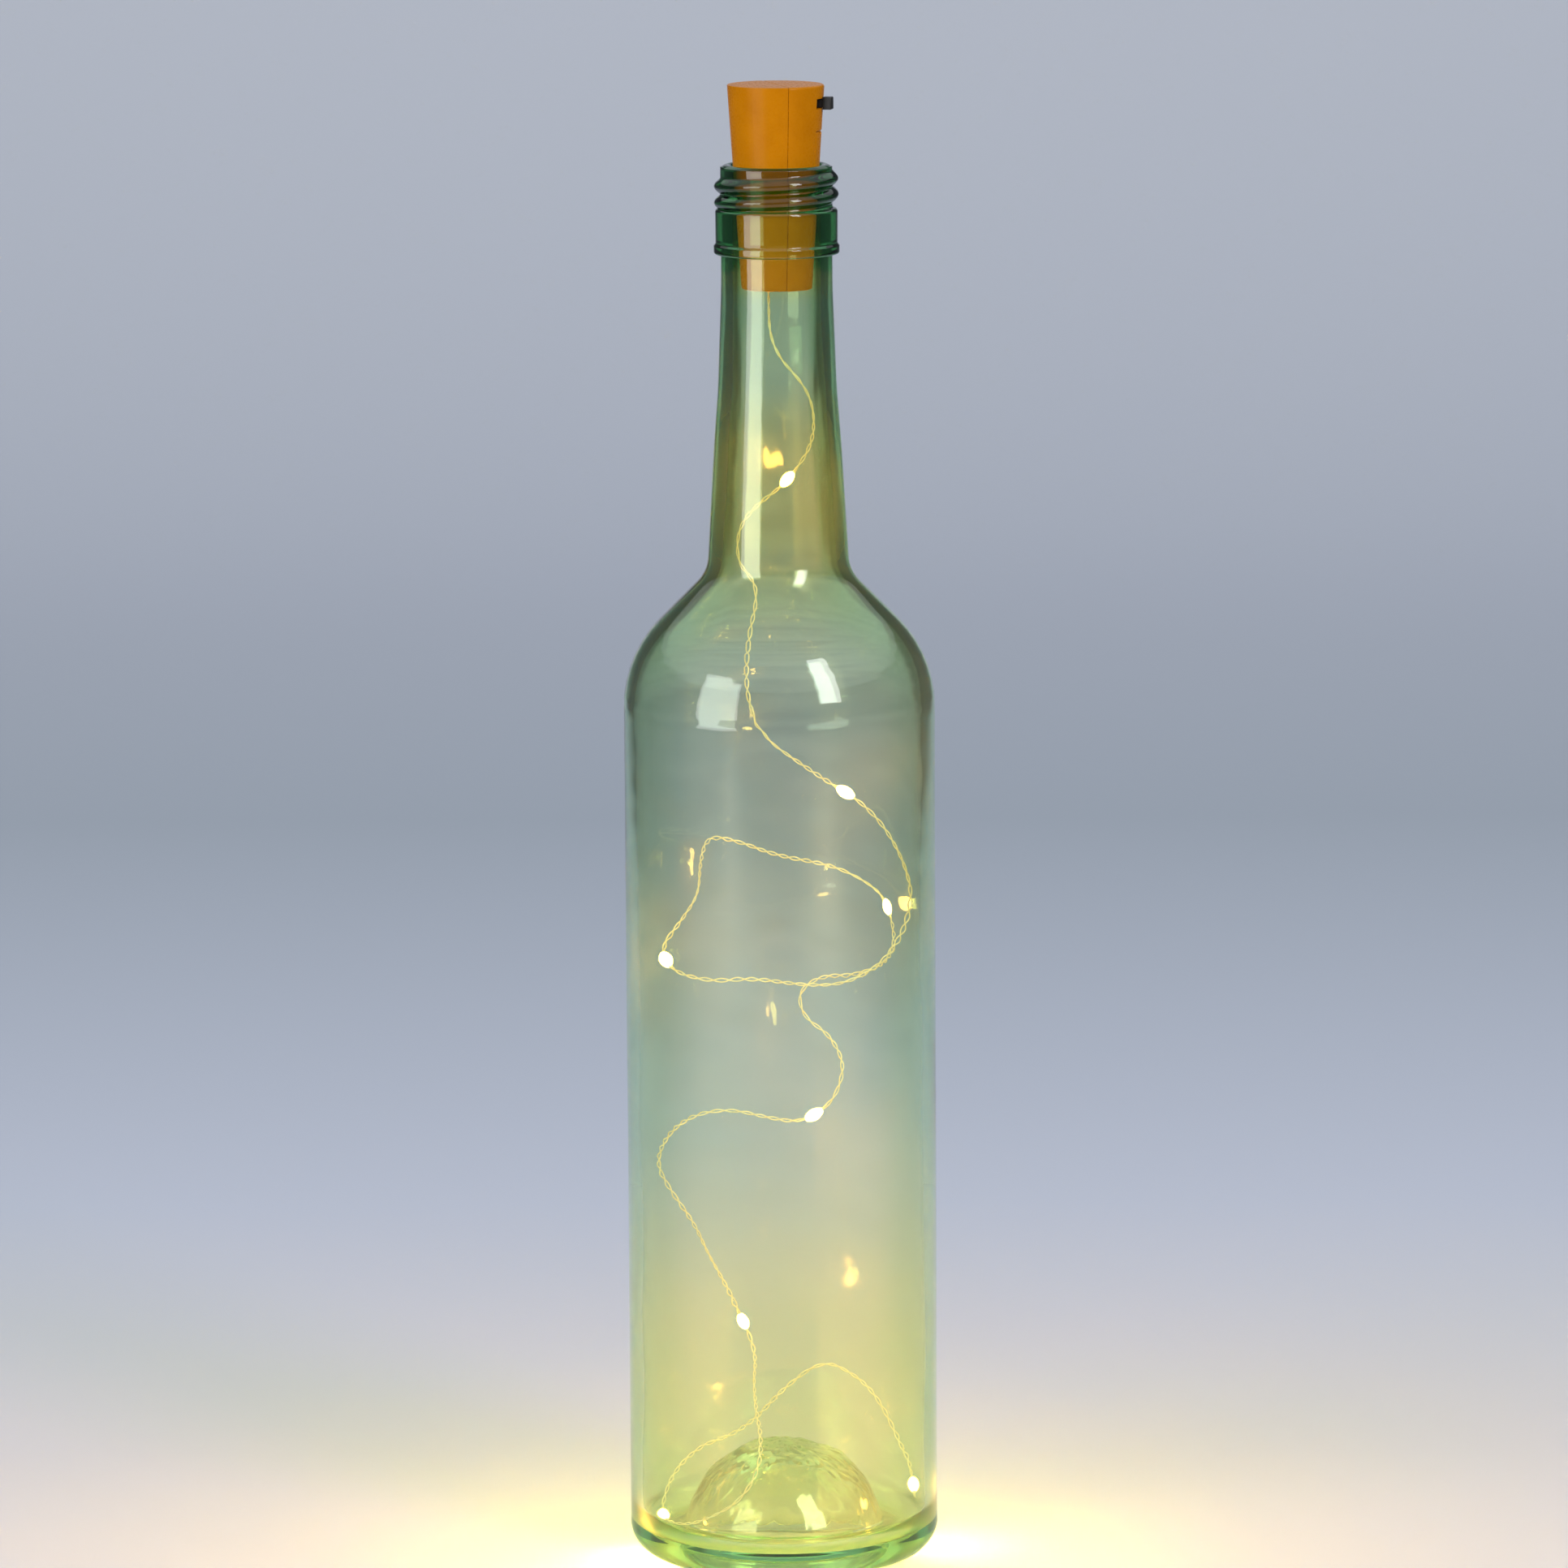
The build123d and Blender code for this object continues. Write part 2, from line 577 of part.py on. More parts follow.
lever_plane = side_plane(SWITCH_AZIMUTH, LEVER_HEIGHT, SWITCH_FRONT)
with BuildPart() as switch_body:
    body_middle = BOARD_TOP + switch_height / 2
    with BuildSketch(side_plane(SWITCH_AZIMUTH, body_middle, SWITCH_FRONT)):
        Rectangle(switch_length, switch_height)
    extrude(amount=-switch_depth)
    with BuildSketch(lever_plane):
        Rectangle(
            SWITCH_TRAVEL + LEVER_SIZE + 2 * LEVER_CLEARANCE,
            LEVER_SIZE + 2 * LEVER_CLEARANCE,
        )
    extrude(amount=-LEVER_ROOT - LEVER_CLEARANCE, mode=Mode.SUBTRACT)
switch_body.part.label = "switch_body"
parts.append(switch_body)

# The lever stands at the rear end of its travel, where the light is on.
with BuildPart() as switch_lever:
    with BuildSketch(side_plane(SWITCH_AZIMUTH, LEVER_HEIGHT, SWITCH_FRONT - LEVER_ROOT)):
        with Locations((SWITCH_TRAVEL / 2, 0)):
            Rectangle(LEVER_SIZE, LEVER_SIZE)
    extrude(amount=KNOB_INNER + KNOB_SOCKET - SWITCH_FRONT + LEVER_ROOT)
switch_lever.part.label = "switch_lever"
parts.append(switch_lever)

with BuildPart() as switch_knob:
    with BuildSketch(side_plane(SWITCH_AZIMUTH, LEVER_HEIGHT, KNOB_INNER)):
        with Locations((SWITCH_TRAVEL / 2, 0)):
            Rectangle(*KNOB_SIZE)
    extrude(amount=KNOB_OUTER - KNOB_INNER)
    outer_face = switch_knob.faces().sort_by(Axis((0, 0, 0), outward(SWITCH_AZIMUTH)))[-1]
    fillet(outer_face.edges(), radius=KNOB_ROUND)
    add(switch_lever.part, mode=Mode.SUBTRACT)
switch_knob.part.label = "switch_knob"
parts.append(switch_knob)

# ---- resistor: a small surface part on the board, opposite the switch -----------------
with BuildPart() as resistor:
    across_the_board = outward(SWITCH_AZIMUTH + 180) * RESISTOR_OFFSET
    with BuildSketch(Plane.XY.offset(BOARD_TOP)):
        with Locations((across_the_board.X, across_the_board.Y)):
            Rectangle(RESISTOR_SIZE[0], RESISTOR_SIZE[1], rotation=SWITCH_AZIMUTH)
    extrude(amount=RESISTOR_SIZE[2])
    chamfer(resistor.edges().group_by(Axis.Z)[-1], length=RESISTOR_CHAMFER)
resistor.part.label = "resistor"
parts.append(resistor)


# ---- wires ------------------------------------------------------------------------------
def tube(points, radii):
    """A round wire along straight runs that tangent arcs join."""
    with BuildPart() as wire:
        with BuildLine() as path:
            FilletPolyline(*points, radius=radii)
        with BuildSketch(Plane(origin=path.wire() @ 0, z_dir=path.wire() % 0)):
            Circle(WIRE_DIA / 2)
        sweep()
    length = path.wire().length
    expected = length * pi * WIRE_DIA**2 / 4
    print(f"tube of {length:.1f} mm, volume is {wire.part.volume / expected:.4f} of it")
    return wire.part


def corner_radii(points):
    """Each corner's arc is as large as its two runs allow, and ends short of a light."""
    runs = [Vector(*after) - Vector(*before) for before, after in zip(points, points[1:])]
    room = [CORNER_SHARE * run.length for run in runs]
    for start in LIGHT_RUNS:
        room[start] = (runs[start].length - BEAD_LENGTH - BEAD_CLEARANCE) / 2
    radii = []
    for number, (arriving, leaving) in enumerate(zip(runs, runs[1:])):
        turn = radians(arriving.get_angle(leaving))
        radii.append(min(room[number], room[number + 1]) / tan(turn / 2))
    return radii


def in_channel(across, height):
    """A point in the channel up the holder's back, to one side of its middle."""
    place = outward(COVER_AZIMUTH) * -CHANNEL_WIRE + COVER_FACE.x_dir * across
    return (place.X, place.Y, height)


exit_point = (*EXIT, CORK_BOTTOM)
feed_points = [
    exit_point,
    (*EXIT, CORK_BOTTOM + FEED_RISE),
    in_channel(-LEAD_OFFSET, HOLDER_BOTTOM - FEED_ENTRY),
    in_channel(-LEAD_OFFSET, BOARD_BOTTOM),
]
with BuildPart() as feed_wire:
    add(tube(feed_points, LEAD_BEND))
feed_wire.part.label = "feed_wire"
parts.append(feed_wire)

leaf_tail = outward(COVER_AZIMUTH) * LEAF_TAIL + COVER_FACE.x_dir * LEAD_OFFSET
lead_points = [
    (leaf_tail.X, leaf_tail.Y, BAY_FLOOR - LEAD_DROP),
    in_channel(LEAD_OFFSET, BAY_FLOOR - LEAD_DROP),
    in_channel(LEAD_OFFSET, BOARD_BOTTOM),
]
with BuildPart() as battery_lead:
    add(tube(lead_points, LEAD_BEND))
battery_lead.part.label = "battery_lead"
parts.append(battery_lead)

# Set glue fills the exit hole and stands round the wire inside.
with BuildPart() as wire_seal:
    with BuildSketch(Plane.XZ.offset(-EXIT[1])):
        with Locations((EXIT[0], CORK_BOTTOM)):
            Polygon(
                (WIRE_DIA / 2, 0),
                (EXIT_HOLE_RADIUS, 0),
                (EXIT_HOLE_RADIUS, CORK_FLOOR),
                *SEAL_POINTS,
                (WIRE_DIA / 2, SEAL_POINTS[-1][1]),
                align=None,
            )
    revolve(axis=Axis((*EXIT, 0), (0, 0, 1)))
wire_seal.part.label = "wire_seal"
parts.append(wire_seal)

route_radii = corner_radii(ROUTE)
print(f"the light wire's tightest bend is {min(route_radii):.1f} mm")
with BuildPart() as light_wire:
    add(tube(ROUTE, route_radii))
light_wire.part.label = "light_wire"
parts.append(light_wire)

# ---- lights: a chip on the wire in a drop of clear resin ------------------------------
for number, start in enumerate(LIGHT_RUNS, start=1):
    first, second = Vector(*ROUTE[start]), Vector(*ROUTE[start + 1])
    along = (second - first).normalized()
    beside = along.cross(Vector(0, 0, 1)).normalized()
    if beside.Y > 0:
        beside = -beside
    centre = (first + second) * 0.5
    chip_lift = (WIRE_DIA + CHIP_SIZE[2]) / 2
    with BuildPart() as led_chip:
        with Locations(Plane(centre + beside * chip_lift, x_dir=along, z_dir=beside)):
            Box(*CHIP_SIZE)
        add(light_wire.part, mode=Mode.SUBTRACT)
    led_chip.part.label = f"led_chip_{number}"
    with BuildPart() as led_bead:
        half = BEAD_LENGTH / 2
        with BuildSketch(Plane(centre, x_dir=along, z_dir=along.cross(beside))):
            with BuildLine():
                bead_side = ThreePointArc(
                    (-half, BEAD_END_RADIUS), (0, BEAD_DIA / 2), (half, BEAD_END_RADIUS)
                )
                Polyline(bead_side @ 1, (half, 0), (-half, 0), bead_side @ 0)
            make_face()
        revolve(axis=Axis(centre, along))
        add(light_wire.part, mode=Mode.SUBTRACT)
        add(led_chip.part, mode=Mode.SUBTRACT)
    led_bead.part.label = f"led_bead_{number}"
    parts += [led_bead, led_chip]

os.makedirs("parts", exist_ok=True)
for piece in parts:
    export_step(piece.part, f"parts/{piece.part.label}.step")
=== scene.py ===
"""Cork bottle light: a green bottle, a cork-shaped battery lamp and its lights."""

from math import atan2, cos, degrees, pi, radians, sin, tan

import bmesh
import bpy
from mathutils import Matrix, Vector, noise


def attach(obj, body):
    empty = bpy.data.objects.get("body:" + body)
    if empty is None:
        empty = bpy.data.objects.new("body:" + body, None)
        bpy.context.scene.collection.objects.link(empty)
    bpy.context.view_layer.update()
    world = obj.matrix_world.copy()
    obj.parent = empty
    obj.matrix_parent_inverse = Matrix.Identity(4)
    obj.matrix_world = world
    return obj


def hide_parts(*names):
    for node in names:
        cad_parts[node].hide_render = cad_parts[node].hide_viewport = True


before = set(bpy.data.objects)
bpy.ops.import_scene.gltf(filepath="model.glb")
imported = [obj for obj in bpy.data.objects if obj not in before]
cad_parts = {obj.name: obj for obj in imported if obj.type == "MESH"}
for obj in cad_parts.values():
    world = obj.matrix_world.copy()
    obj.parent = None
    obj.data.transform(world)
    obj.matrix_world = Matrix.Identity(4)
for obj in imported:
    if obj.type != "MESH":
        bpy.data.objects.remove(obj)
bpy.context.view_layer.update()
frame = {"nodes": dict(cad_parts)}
nodes = frame["nodes"]
MM = 0.001


# ---- Bottle ---------------------------------------------------------------------------
# One piece of blown green glass. Its foot has a deep punt, and its moulded finish has a
# collar and a coarse screw thread. The wall is uneven inside, as machine-blown glass is.
SIDES = 224
GLASS_TOP = 0.34
LONGEST_STEP = 1.3
THREAD_STEP = 0.28
# Corners of the half section, as radius, height and rounding, from the dome under the
# foot up the outside, over the lip and down the inside to the floor.
OUTSIDE = [
    (30.0, 0.0, 0.0),
    (37.5, 0.0, 7.4),
    (37.5, 220.49, 30.4),
    (17.109, 240.88, 9.0),
    (15.25, 272.0, 160.0),
    (14.25, 285.0, 160.0),
    (13.35, 309.0, 160.0),
    (13.35, 317.2, 0.25),
    (15.05, 317.2, 0.6),
    (15.05, 319.2, 0.5),
    (14.6, 319.8, 0.5),
    (14.65, 327.9, 1.0),
    (13.45, 328.3, 0.6),
    (13.35, 338.5, 1.5),
    (10.53, 338.5, 1.3),
    (10.53, 300.0, 150.0),
    (11.35, 285.0, 150.0),
    (12.2, 272.0, 150.0),
    (14.02, 239.60, 12.1),
    (34.4, 219.21, 27.3),
    (34.4, 6.2, 7.0),
    (24.6, 6.2, 2.0),
]
DOME_OUTSIDE = (22.3, 26.4, 0.55)
DOME_INSIDE = (27.0, 24.3, 6.5)
THREAD_PITCH = 3.9
THREAD_CREST = 1.5
THREAD_REACH = 1.9
THREAD_AT_RIGHT = 331.4
THREAD_ROOT = 13.4
THREAD_FOOT, THREAD_HEAD = 328.0, 338.0
FINE_FROM = 327.5
THREAD_FROM, THREAD_TO = -1.25 * pi, 2.12 * pi
# Unevenness in millimetres: of the outside, of the dome, and of the inside wall, whose
# finer waves grow towards the back.
SWELL = 0.1
DOME_LUMP, DOME_DIMPLE = 0.6, 0.42
LONG_WAVE = 0.3
SHORT_WAVE, SHORT_WAVE_BEHIND = 0.05, 0.22
RING_WAVE, RING_WAVE_BEHIND = 0.03, 0.26


def rounded_section(corners):
    """Points along a section whose corners are (across, up, rounding)."""
    points = [Vector(corners[0][:2])]
    for before, corner, after in zip(corners, corners[1:], corners[2:]):
        here = Vector(corner[:2])
        back = (Vector(before[:2]) - here).normalized()
        on = (Vector(after[:2]) - here).normalized()
        turn = pi - back.angle(on)
        if not corner[2] or turn < 0.002:
            points.append(here)
            continue
        reach = corner[2] * tan(turn / 2)
        centre = here + (back + on).normalized() * corner[2] / cos(turn / 2)
        first = here + back * reach - centre
        steps = max(3, int(degrees(turn) / 6))
        side = 1 if back.x * on.y - back.y * on.x < 0 else -1
        for step in range(steps + 1):
            bend = side * turn * step / steps
            swung = Matrix.Rotation(bend, 2) @ first
            points.append(centre + swung)
    points.append(Vector(corners[-1][:2]))
    return points


def dome_section(top, rim_radius, rim_height, steps):
    """Points of a dome's arc, from its rim to its top on the axis."""
    rise = top - rim_height
    radius = (rim_radius**2 + rise**2) / (2 * rise)
    widest = atan2(rim_radius, radius - rise)
    points = []
    for step in range(steps + 1):
        lean = widest * (1 - step / steps)
        points.append(Vector((radius * sin(lean), top - radius * (1 - cos(lean)))))
    return points


def stepped(points, longest, fine_from=None, fine=None):
    """The same line in steps no longer than longest, or than fine above a height."""
    line = [points[0]]
    for before, after in zip(points, points[1:]):
        step = fine if fine_from and min(before.y, after.y) > fine_from else longest
        parts = max(1, int((after - before).length / step + 0.999))
        line += [before.lerp(after, part / parts) for part in range(1, parts + 1)]
    return line


def new_piece(name, points, faces, smooth=True):
    """A mesh object in the row frame from points in millimetres."""
    mesh = bpy.data.meshes.new(name)
    mesh.from_pydata([[value * MM for value in point] for point in points], [], faces)
    mesh.polygons.foreach_set("use_smooth", [smooth] * len(mesh.polygons))
    piece = bpy.data.objects.new(name, mesh)
    bpy.context.scene.collection.objects.link(piece)
    return piece


def thread_rise(angle, height):
    """How far the screw thread stands out of the finish at a place."""
    rise = 0.0
    for turn in (-1, 0, 1):
        along = angle + 2 * pi * turn
        if not THREAD_FROM < along < THREAD_TO:
            continue
        crest = THREAD_AT_RIGHT + THREAD_PITCH * along / (2 * pi)
        off = min(1, abs(height - crest) / THREAD_REACH)
        ends = min(1, (along - THREAD_FROM) / 0.5, (THREAD_TO - along) / 0.5)
        rise = max(rise, THREAD_CREST * ends * cos(pi / 2 * off))
    return rise


def glass_point(angle, radius, height, inside):
    """A point of the bottle's skin, with its thread and its uneven wall."""
    x, y = cos(angle), sin(angle)
    if not inside:
        if THREAD_FOOT < height < THREAD_HEAD:
            radius = max(radius, THREAD_ROOT + thread_rise(angle, height))
        if 8 < height < 210:
            swell = noise.noise(Vector((x * 1.3, y * 1.3, height * 0.018)))
            radius += SWELL * swell * min(1, (height - 8) / 20) - SWELL
        return (radius * x, radius * y, height)
    if radius < 25 and height < 30:
        lump = noise.noise(Vector((radius * x, radius * y, 3.0)) * 0.16)
        dimple = noise.noise(Vector((radius * x, radius * y, 9.0)) * 0.55)
        lift = DOME_LUMP * lump + DOME_DIMPLE * dimple
        return (radius * x, radius * y, height + lift)
    if 12 < height < 300:
        long_wave = noise.noise(Vector((x * 1.6, y * 1.6, height * 0.011)))
        short_wave = noise.noise(Vector((x * 4.0, y * 4.0, height * 0.045)))
        ring_wave = noise.noise(Vector((x * 2.6, y * 2.6, height * 0.15)))
        behind = max(0.0, y - 0.25)
        waves = (SHORT_WAVE + SHORT_WAVE_BEHIND * behind) * short_wave
        waves += (RING_WAVE + RING_WAVE_BEHIND * behind) * ring_wave
        fade = min(1, (height - 12) / 15, (300 - height) / 15)
        radius += fade * (LONG_WAVE * long_wave + waves)
    return (radius * x, radius * y, height)


under_dome = dome_section(*DOME_OUTSIDE, 26)
over_dome = dome_section(*DOME_INSIDE, 40)
skin = [(point, False) for point in reversed(under_dome)]
outline = rounded_section(OUTSIDE)
for point in stepped(outline, LONGEST_STEP, FINE_FROM, THREAD_STEP):
    skin.append((point, False))
lip_top = max(range(len(skin)), key=lambda place: skin[place][0].y)
skin = [(point, place > lip_top + 4) for place, (point, _) in enumerate(skin)]
skin += [(point, True) for point in over_dome]

glass_points = []
glass_faces = []
inner_marks = []
rings = []
for point, inside in skin:
    if point.x < 1e-6:
        rings.append([len(glass_points)] * SIDES)
        glass_points.append(glass_point(0, 0, point.y, inside))
        inner_marks.append(float(inside))
        continue
    rings.append(list(range(len(glass_points), len(glass_points) + SIDES)))
    for side in range(SIDES):
        angle = 2 * pi * side / SIDES - pi
        glass_points.append(glass_point(angle, point.x, point.y, inside))
    inner_marks += [float(inside)] * SIDES
for lower, upper in zip(rings, rings[1:]):
    for side in range(SIDES):
        following = (side + 1) % SIDES
        corners = [lower[side], lower[following], upper[following], upper[side]]
        glass_faces.append(list(dict.fromkeys(corners)))
bottle = new_piece("bottle_glass", glass_points, glass_faces)
inner_wall = bottle.data.attributes.new("inner_wall", "FLOAT", "POINT")
inner_wall.data.foreach_set("value", inner_marks)


def plain_material(name):
    """A new node material with its Principled shader, and its node and link lists."""
    material = bpy.data.materials.new(name)
    material.use_nodes = True
    tree = material.node_tree
    return material, tree.nodes, tree.links, tree.nodes["Principled BSDF"]


def grain(nodes, links, scale, detail=4.0, roughness=0.55, stretch=(1, 1, 1)):
    """A noise in the row frame: its scale is in features per metre."""
    place = nodes.new("ShaderNodeTexCoord")
    mapping = nodes.new("ShaderNodeMapping")
    mapping.inputs["Scale"].default_value = stretch
    texture = nodes.new("ShaderNodeTexNoise")
    texture.inputs["Scale"].default_value = scale
    texture.inputs["Detail"].default_value = detail
    texture.inputs["Roughness"].default_value = roughness
    links.new(place.outputs["Object"], mapping.inputs["Vector"])
    links.new(mapping.outputs["Vector"], texture.inputs["Vector"])
    return texture.outputs["Fac"]


def ramp(nodes, links, source, stops):
    """Colours along a 0 to 1 value."""
    ramp_node = nodes.new("ShaderNodeValToRGB")
    elements = ramp_node.color_ramp.elements
    elements[0].position, elements[1].position = stops[0][0], stops[-1][0]
    for position, _ in stops[1:-1]:
        elements.new(position)
    for element, (_, colour) in zip(elements, stops):
        element.color = (*colour, 1)
    links.new(source, ramp_node.inputs["Fac"])
    return ramp_node.outputs["Color"]


def span(nodes, links, source, low, high):
    """A 0 to 1 value stretched to run from low to high."""
    spread = nodes.new("ShaderNodeMapRange")
    spread.inputs["To Min"].default_value = low
    spread.inputs["To Max"].default_value = high
    links.new(source, spread.inputs["Value"])
    return spread.outputs["Result"]


def faded(nodes, links, source, start, end, low=0.0, high=1.0):
    """A value that goes softly from low before start to high after end."""
    fader = nodes.new("ShaderNodeMapRange")
    fader.interpolation_type = "SMOOTHSTEP"
    fader.inputs["From Min"].default_value = start
    fader.inputs["From Max"].default_value = end
    fader.inputs["To Min"].default_value = low
    fader.inputs["To Max"].default_value = high
    links.new(source, fader.inputs["Value"])
    return fader.outputs["Result"]


def levels(stops):
    """Stops of plain numbers as the grey stops that a ramp takes."""
    return [(position, (level,) * 3) for position, level in stops]


def combined(nodes, links, operation, first, second=None):
    """The node of one operation on one value or two."""
    operator = nodes.new("ShaderNodeMath")
    operator.operation = operation
    links.new(first, operator.inputs[0])
    if second is not None:
        links.new(second, operator.inputs[1])
    return operator


def blended(nodes, links, share, first, second):
    """One shader passing into a second by a share."""
    blend = nodes.new("ShaderNodeMixShader")
    if isinstance(share, float):
        blend.inputs["Fac"].default_value = share
    else:
        links.new(share, blend.inputs["Fac"])
    links.new(first, blend.inputs[1])
    links.new(second, blend.inputs[2])
    return blend.outputs["Shader"]


def axes_of(nodes, links, output="Object"):
    """The place in the row frame, or the direction, as its X, Y and Z."""
    place = nodes.new("ShaderNodeTexCoord")
    axes = nodes.new("ShaderNodeSeparateXYZ")
    links.new(place.outputs[output], axes.inputs["Vector"])
    return axes.outputs


def bump(nodes, links, source, height_mm, shader):
    """Fine relief of a real height on a shader."""
    relief = nodes.new("ShaderNodeBump")
    relief.inputs["Strength"].default_value = 1.0
    relief.inputs["Distance"].default_value = height_mm * MM
    links.new(source, relief.inputs["Height"])
    links.new(relief.outputs["Normal"], shader.inputs["Normal"])


green_glass, shading, wires, clear = plain_material("green_bottle_glass")
clear.inputs["Transmission Weight"].default_value = 1.0
clear.inputs["Roughness"].default_value = 0.0
clear.inputs["IOR"].default_value = 1.5
ripple = grain(shading, wires, 60, 2.0, 0.4, (1, 1, 0.5))
bump(shading, wires, ripple, 0.06, clear)
# The neck, finish and foot are thicker, so they are greener, most of all at their edges.
# The tint by height is partly painted light: the yellow of the foot and low body, the gold
# of the neck round the top light and the gold just under the collar are painted glow of
# the lights, and the dark finish is partly painted shade on the cork seen through it. The
# dark green that grows at the edges as a face turns from view is partly thick glass and
# partly a painted reflection of dark surroundings.
up_glass = shading.new("ShaderNodeMapRange")
up_glass.inputs["From Max"].default_value = GLASS_TOP
wires.new(axes_of(shading, wires)["Z"], up_glass.inputs["Value"])
height_share = up_glass.outputs["Result"]
# Tints by height: thick glass is greener. The gold bands are painted glow, and the dark
# finish is partly painted shade.
glass_tints_painted_glow_and_shade = [
    (0.0, (1.0, 1.0, 0.95)),
    (0.04, (1.0, 1.0, 0.86)),
    (0.14, (1.0, 0.99, 0.84)),
    (0.26, (0.99, 0.985, 0.97)),
    (0.58, (0.98, 0.98, 0.97)),
    (0.66, (0.86, 0.88, 0.81)),
    (0.74, (0.97, 0.93, 0.66)),
    (0.8, (0.96, 0.93, 0.68)),
    (0.84, (0.88, 0.93, 0.8)),
    (0.9, (0.88, 0.93, 0.78)),
    (0.915, (1.0, 0.93, 0.55)),
    (0.93, (1.0, 0.93, 0.55)),
    (0.94, (0.84, 0.84, 0.45)),
    (0.96, (0.84, 0.84, 0.45)),
    (0.966, (0.36, 0.32, 0.17)),
    (0.99, (0.36, 0.32, 0.17)),
]
# How far the edges darken at each height: for thick glass and for painted shade.
thickness_and_painted_shade = [
    (0.0, 0.08),
    (0.05, 0.14),
    (0.64, 0.18),
    (0.74, 0.65),
    (0.92, 0.75),
    (0.935, 2.2),
]
turned = shading.new("ShaderNodeLayerWeight")
turned.inputs["Blend"].default_value = 0.5
edge_on = faded(shading, wires, turned.outputs["Facing"], 0.14, 0.5)
thick_and_shaded = ramp(shading, wires, height_share, levels(thickness_and_painted_shade))
edge_share = combined(shading, wires, "MULTIPLY", edge_on, thick_and_shaded)
edge_share.use_clamp = True
greener = shading.new("ShaderNodeMix")
greener.data_type = "RGBA"
wires.new(edge_share.outputs["Value"], greener.inputs["Factor"])
wires.new(ramp(shading, wires, height_share, glass_tints_painted_glow_and_shade), greener.inputs["A"])
# Edge greens: the green of thick glass, darkened as a painted reflection of dark
# surroundings.
edge_tones = [
    (0.8, (0.11, 0.5, 0.15)),
    (0.86, (0.05, 0.32, 0.11)),
    (0.925, (0.05, 0.32, 0.11)),
    (0.935, (0.015, 0.17, 0.06)),
]
wires.new(ramp(shading, wires, height_share, edge_tones), greener.inputs["B"])
wires.new(greener.outputs["Result"], clear.inputs["Base Color"])
# Lamps shine straight through the glass, where Cycles can't bend their light.
lit_through = shading.new("ShaderNodeBsdfTransparent")
lit_through.inputs["Color"].default_value = (0.97, 0.97, 0.9, 1)
light_ray = shading.new("ShaderNodeLightPath").outputs
unbent = combined(
    shading, wires, "MAXIMUM", light_ray["Is Shadow Ray"], light_ray["Is Diffuse Ray"]
)
# A golden film on the inner wall stands for the glow of the lights in the glass. It is
# given for each height and isn't a part of the real glass.
bloom_in = shading.new("ShaderNodeBsdfTranslucent")
bloom_out = shading.new("ShaderNodeBsdfAnisotropic")
bloom_out.inputs["Roughness"].default_value = 0.14
for bloom in (bloom_in, bloom_out):
    bloom.inputs["Color"].default_value = (1.0, 0.82, 0.5, 1)
streaks = grain(shading, wires, 300, 1.0, 0.4, (0.25, 0.25, 1))
bump(shading, wires, streaks, 0.035, bloom_out)
bloom = blended(shading, wires, 0.6, bloom_in.outputs["BSDF"], bloom_out.outputs["BSDF"])
bloom_share = [
    (0.0, 0.7),
    (0.018, 0.55),
    (0.035, 0.26),
    (0.12, 0.22),
    (0.2, 0.17),
    (0.32, 0.045),
    (0.38, 0.035),
    (0.45, 0.055),
    (0.52, 0.028),
    (0.68, 0.028),
    (0.74, 0.13),
    (0.8, 0.12),
    (0.86, 0.05),
    (0.93, 0.04),
    (0.95, 0.01),
]
inner = shading.new("ShaderNodeAttribute")
inner.attribute_name = "inner_wall"
filmed = ramp(shading, wires, height_share, levels(bloom_share))
bloomed = combined(shading, wires, "MULTIPLY", inner.outputs["Fac"], filmed)
skin_look = blended(
    shading, wires, bloomed.outputs["Value"], clear.outputs["BSDF"], bloom
)
glass_look = blended(
    shading, wires, unbent.outputs["Value"], skin_look, lit_through.outputs["BSDF"]
)
output = shading["Material Output"]
wires.new(glass_look, output.inputs["Surface"])
depth_tint = shading.new("ShaderNodeVolumeAbsorption")
depth_tint.inputs["Color"].default_value = (0.39, 0.85, 0.41, 1)
depth_tint.inputs["Density"].default_value = 85
wires.new(depth_tint.outputs["Volume"], output.inputs["Volume"])
bottle.data.materials.append(green_glass)
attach(bottle, "bottle")
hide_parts("bottle")


# ---- Cork housing ---------------------------------------------------------------------
# Two hollow halves moulded in ochre plastic, like a natural cork in shape. They meet at a
# seam down the front and back, and hold the lamp's works between them.
CORK_FOOT, CORK_HEAD, CORK_ROUND = 308.9, 357.5, 0.9
FOOT_RADIUS, HEAD_RADIUS = 8.4, 11.6


def on_skin(vertex):
    """True for a point on the cork's outside, where its edges show."""
    up = vertex.co.z / MM
    across = vertex.co.xy.length / MM
    share = (up - CORK_FOOT) / (CORK_HEAD - CORK_FOOT)
    side = FOOT_RADIUS + (HEAD_RADIUS - FOOT_RADIUS) * share
    above = up - (CORK_HEAD - CORK_ROUND)
    if above < 0:
        return across > side - 0.06
    beyond = max(0.0, across - side + CORK_ROUND)
    return (beyond**2 + above**2) ** 0.5 > CORK_ROUND - 0.06


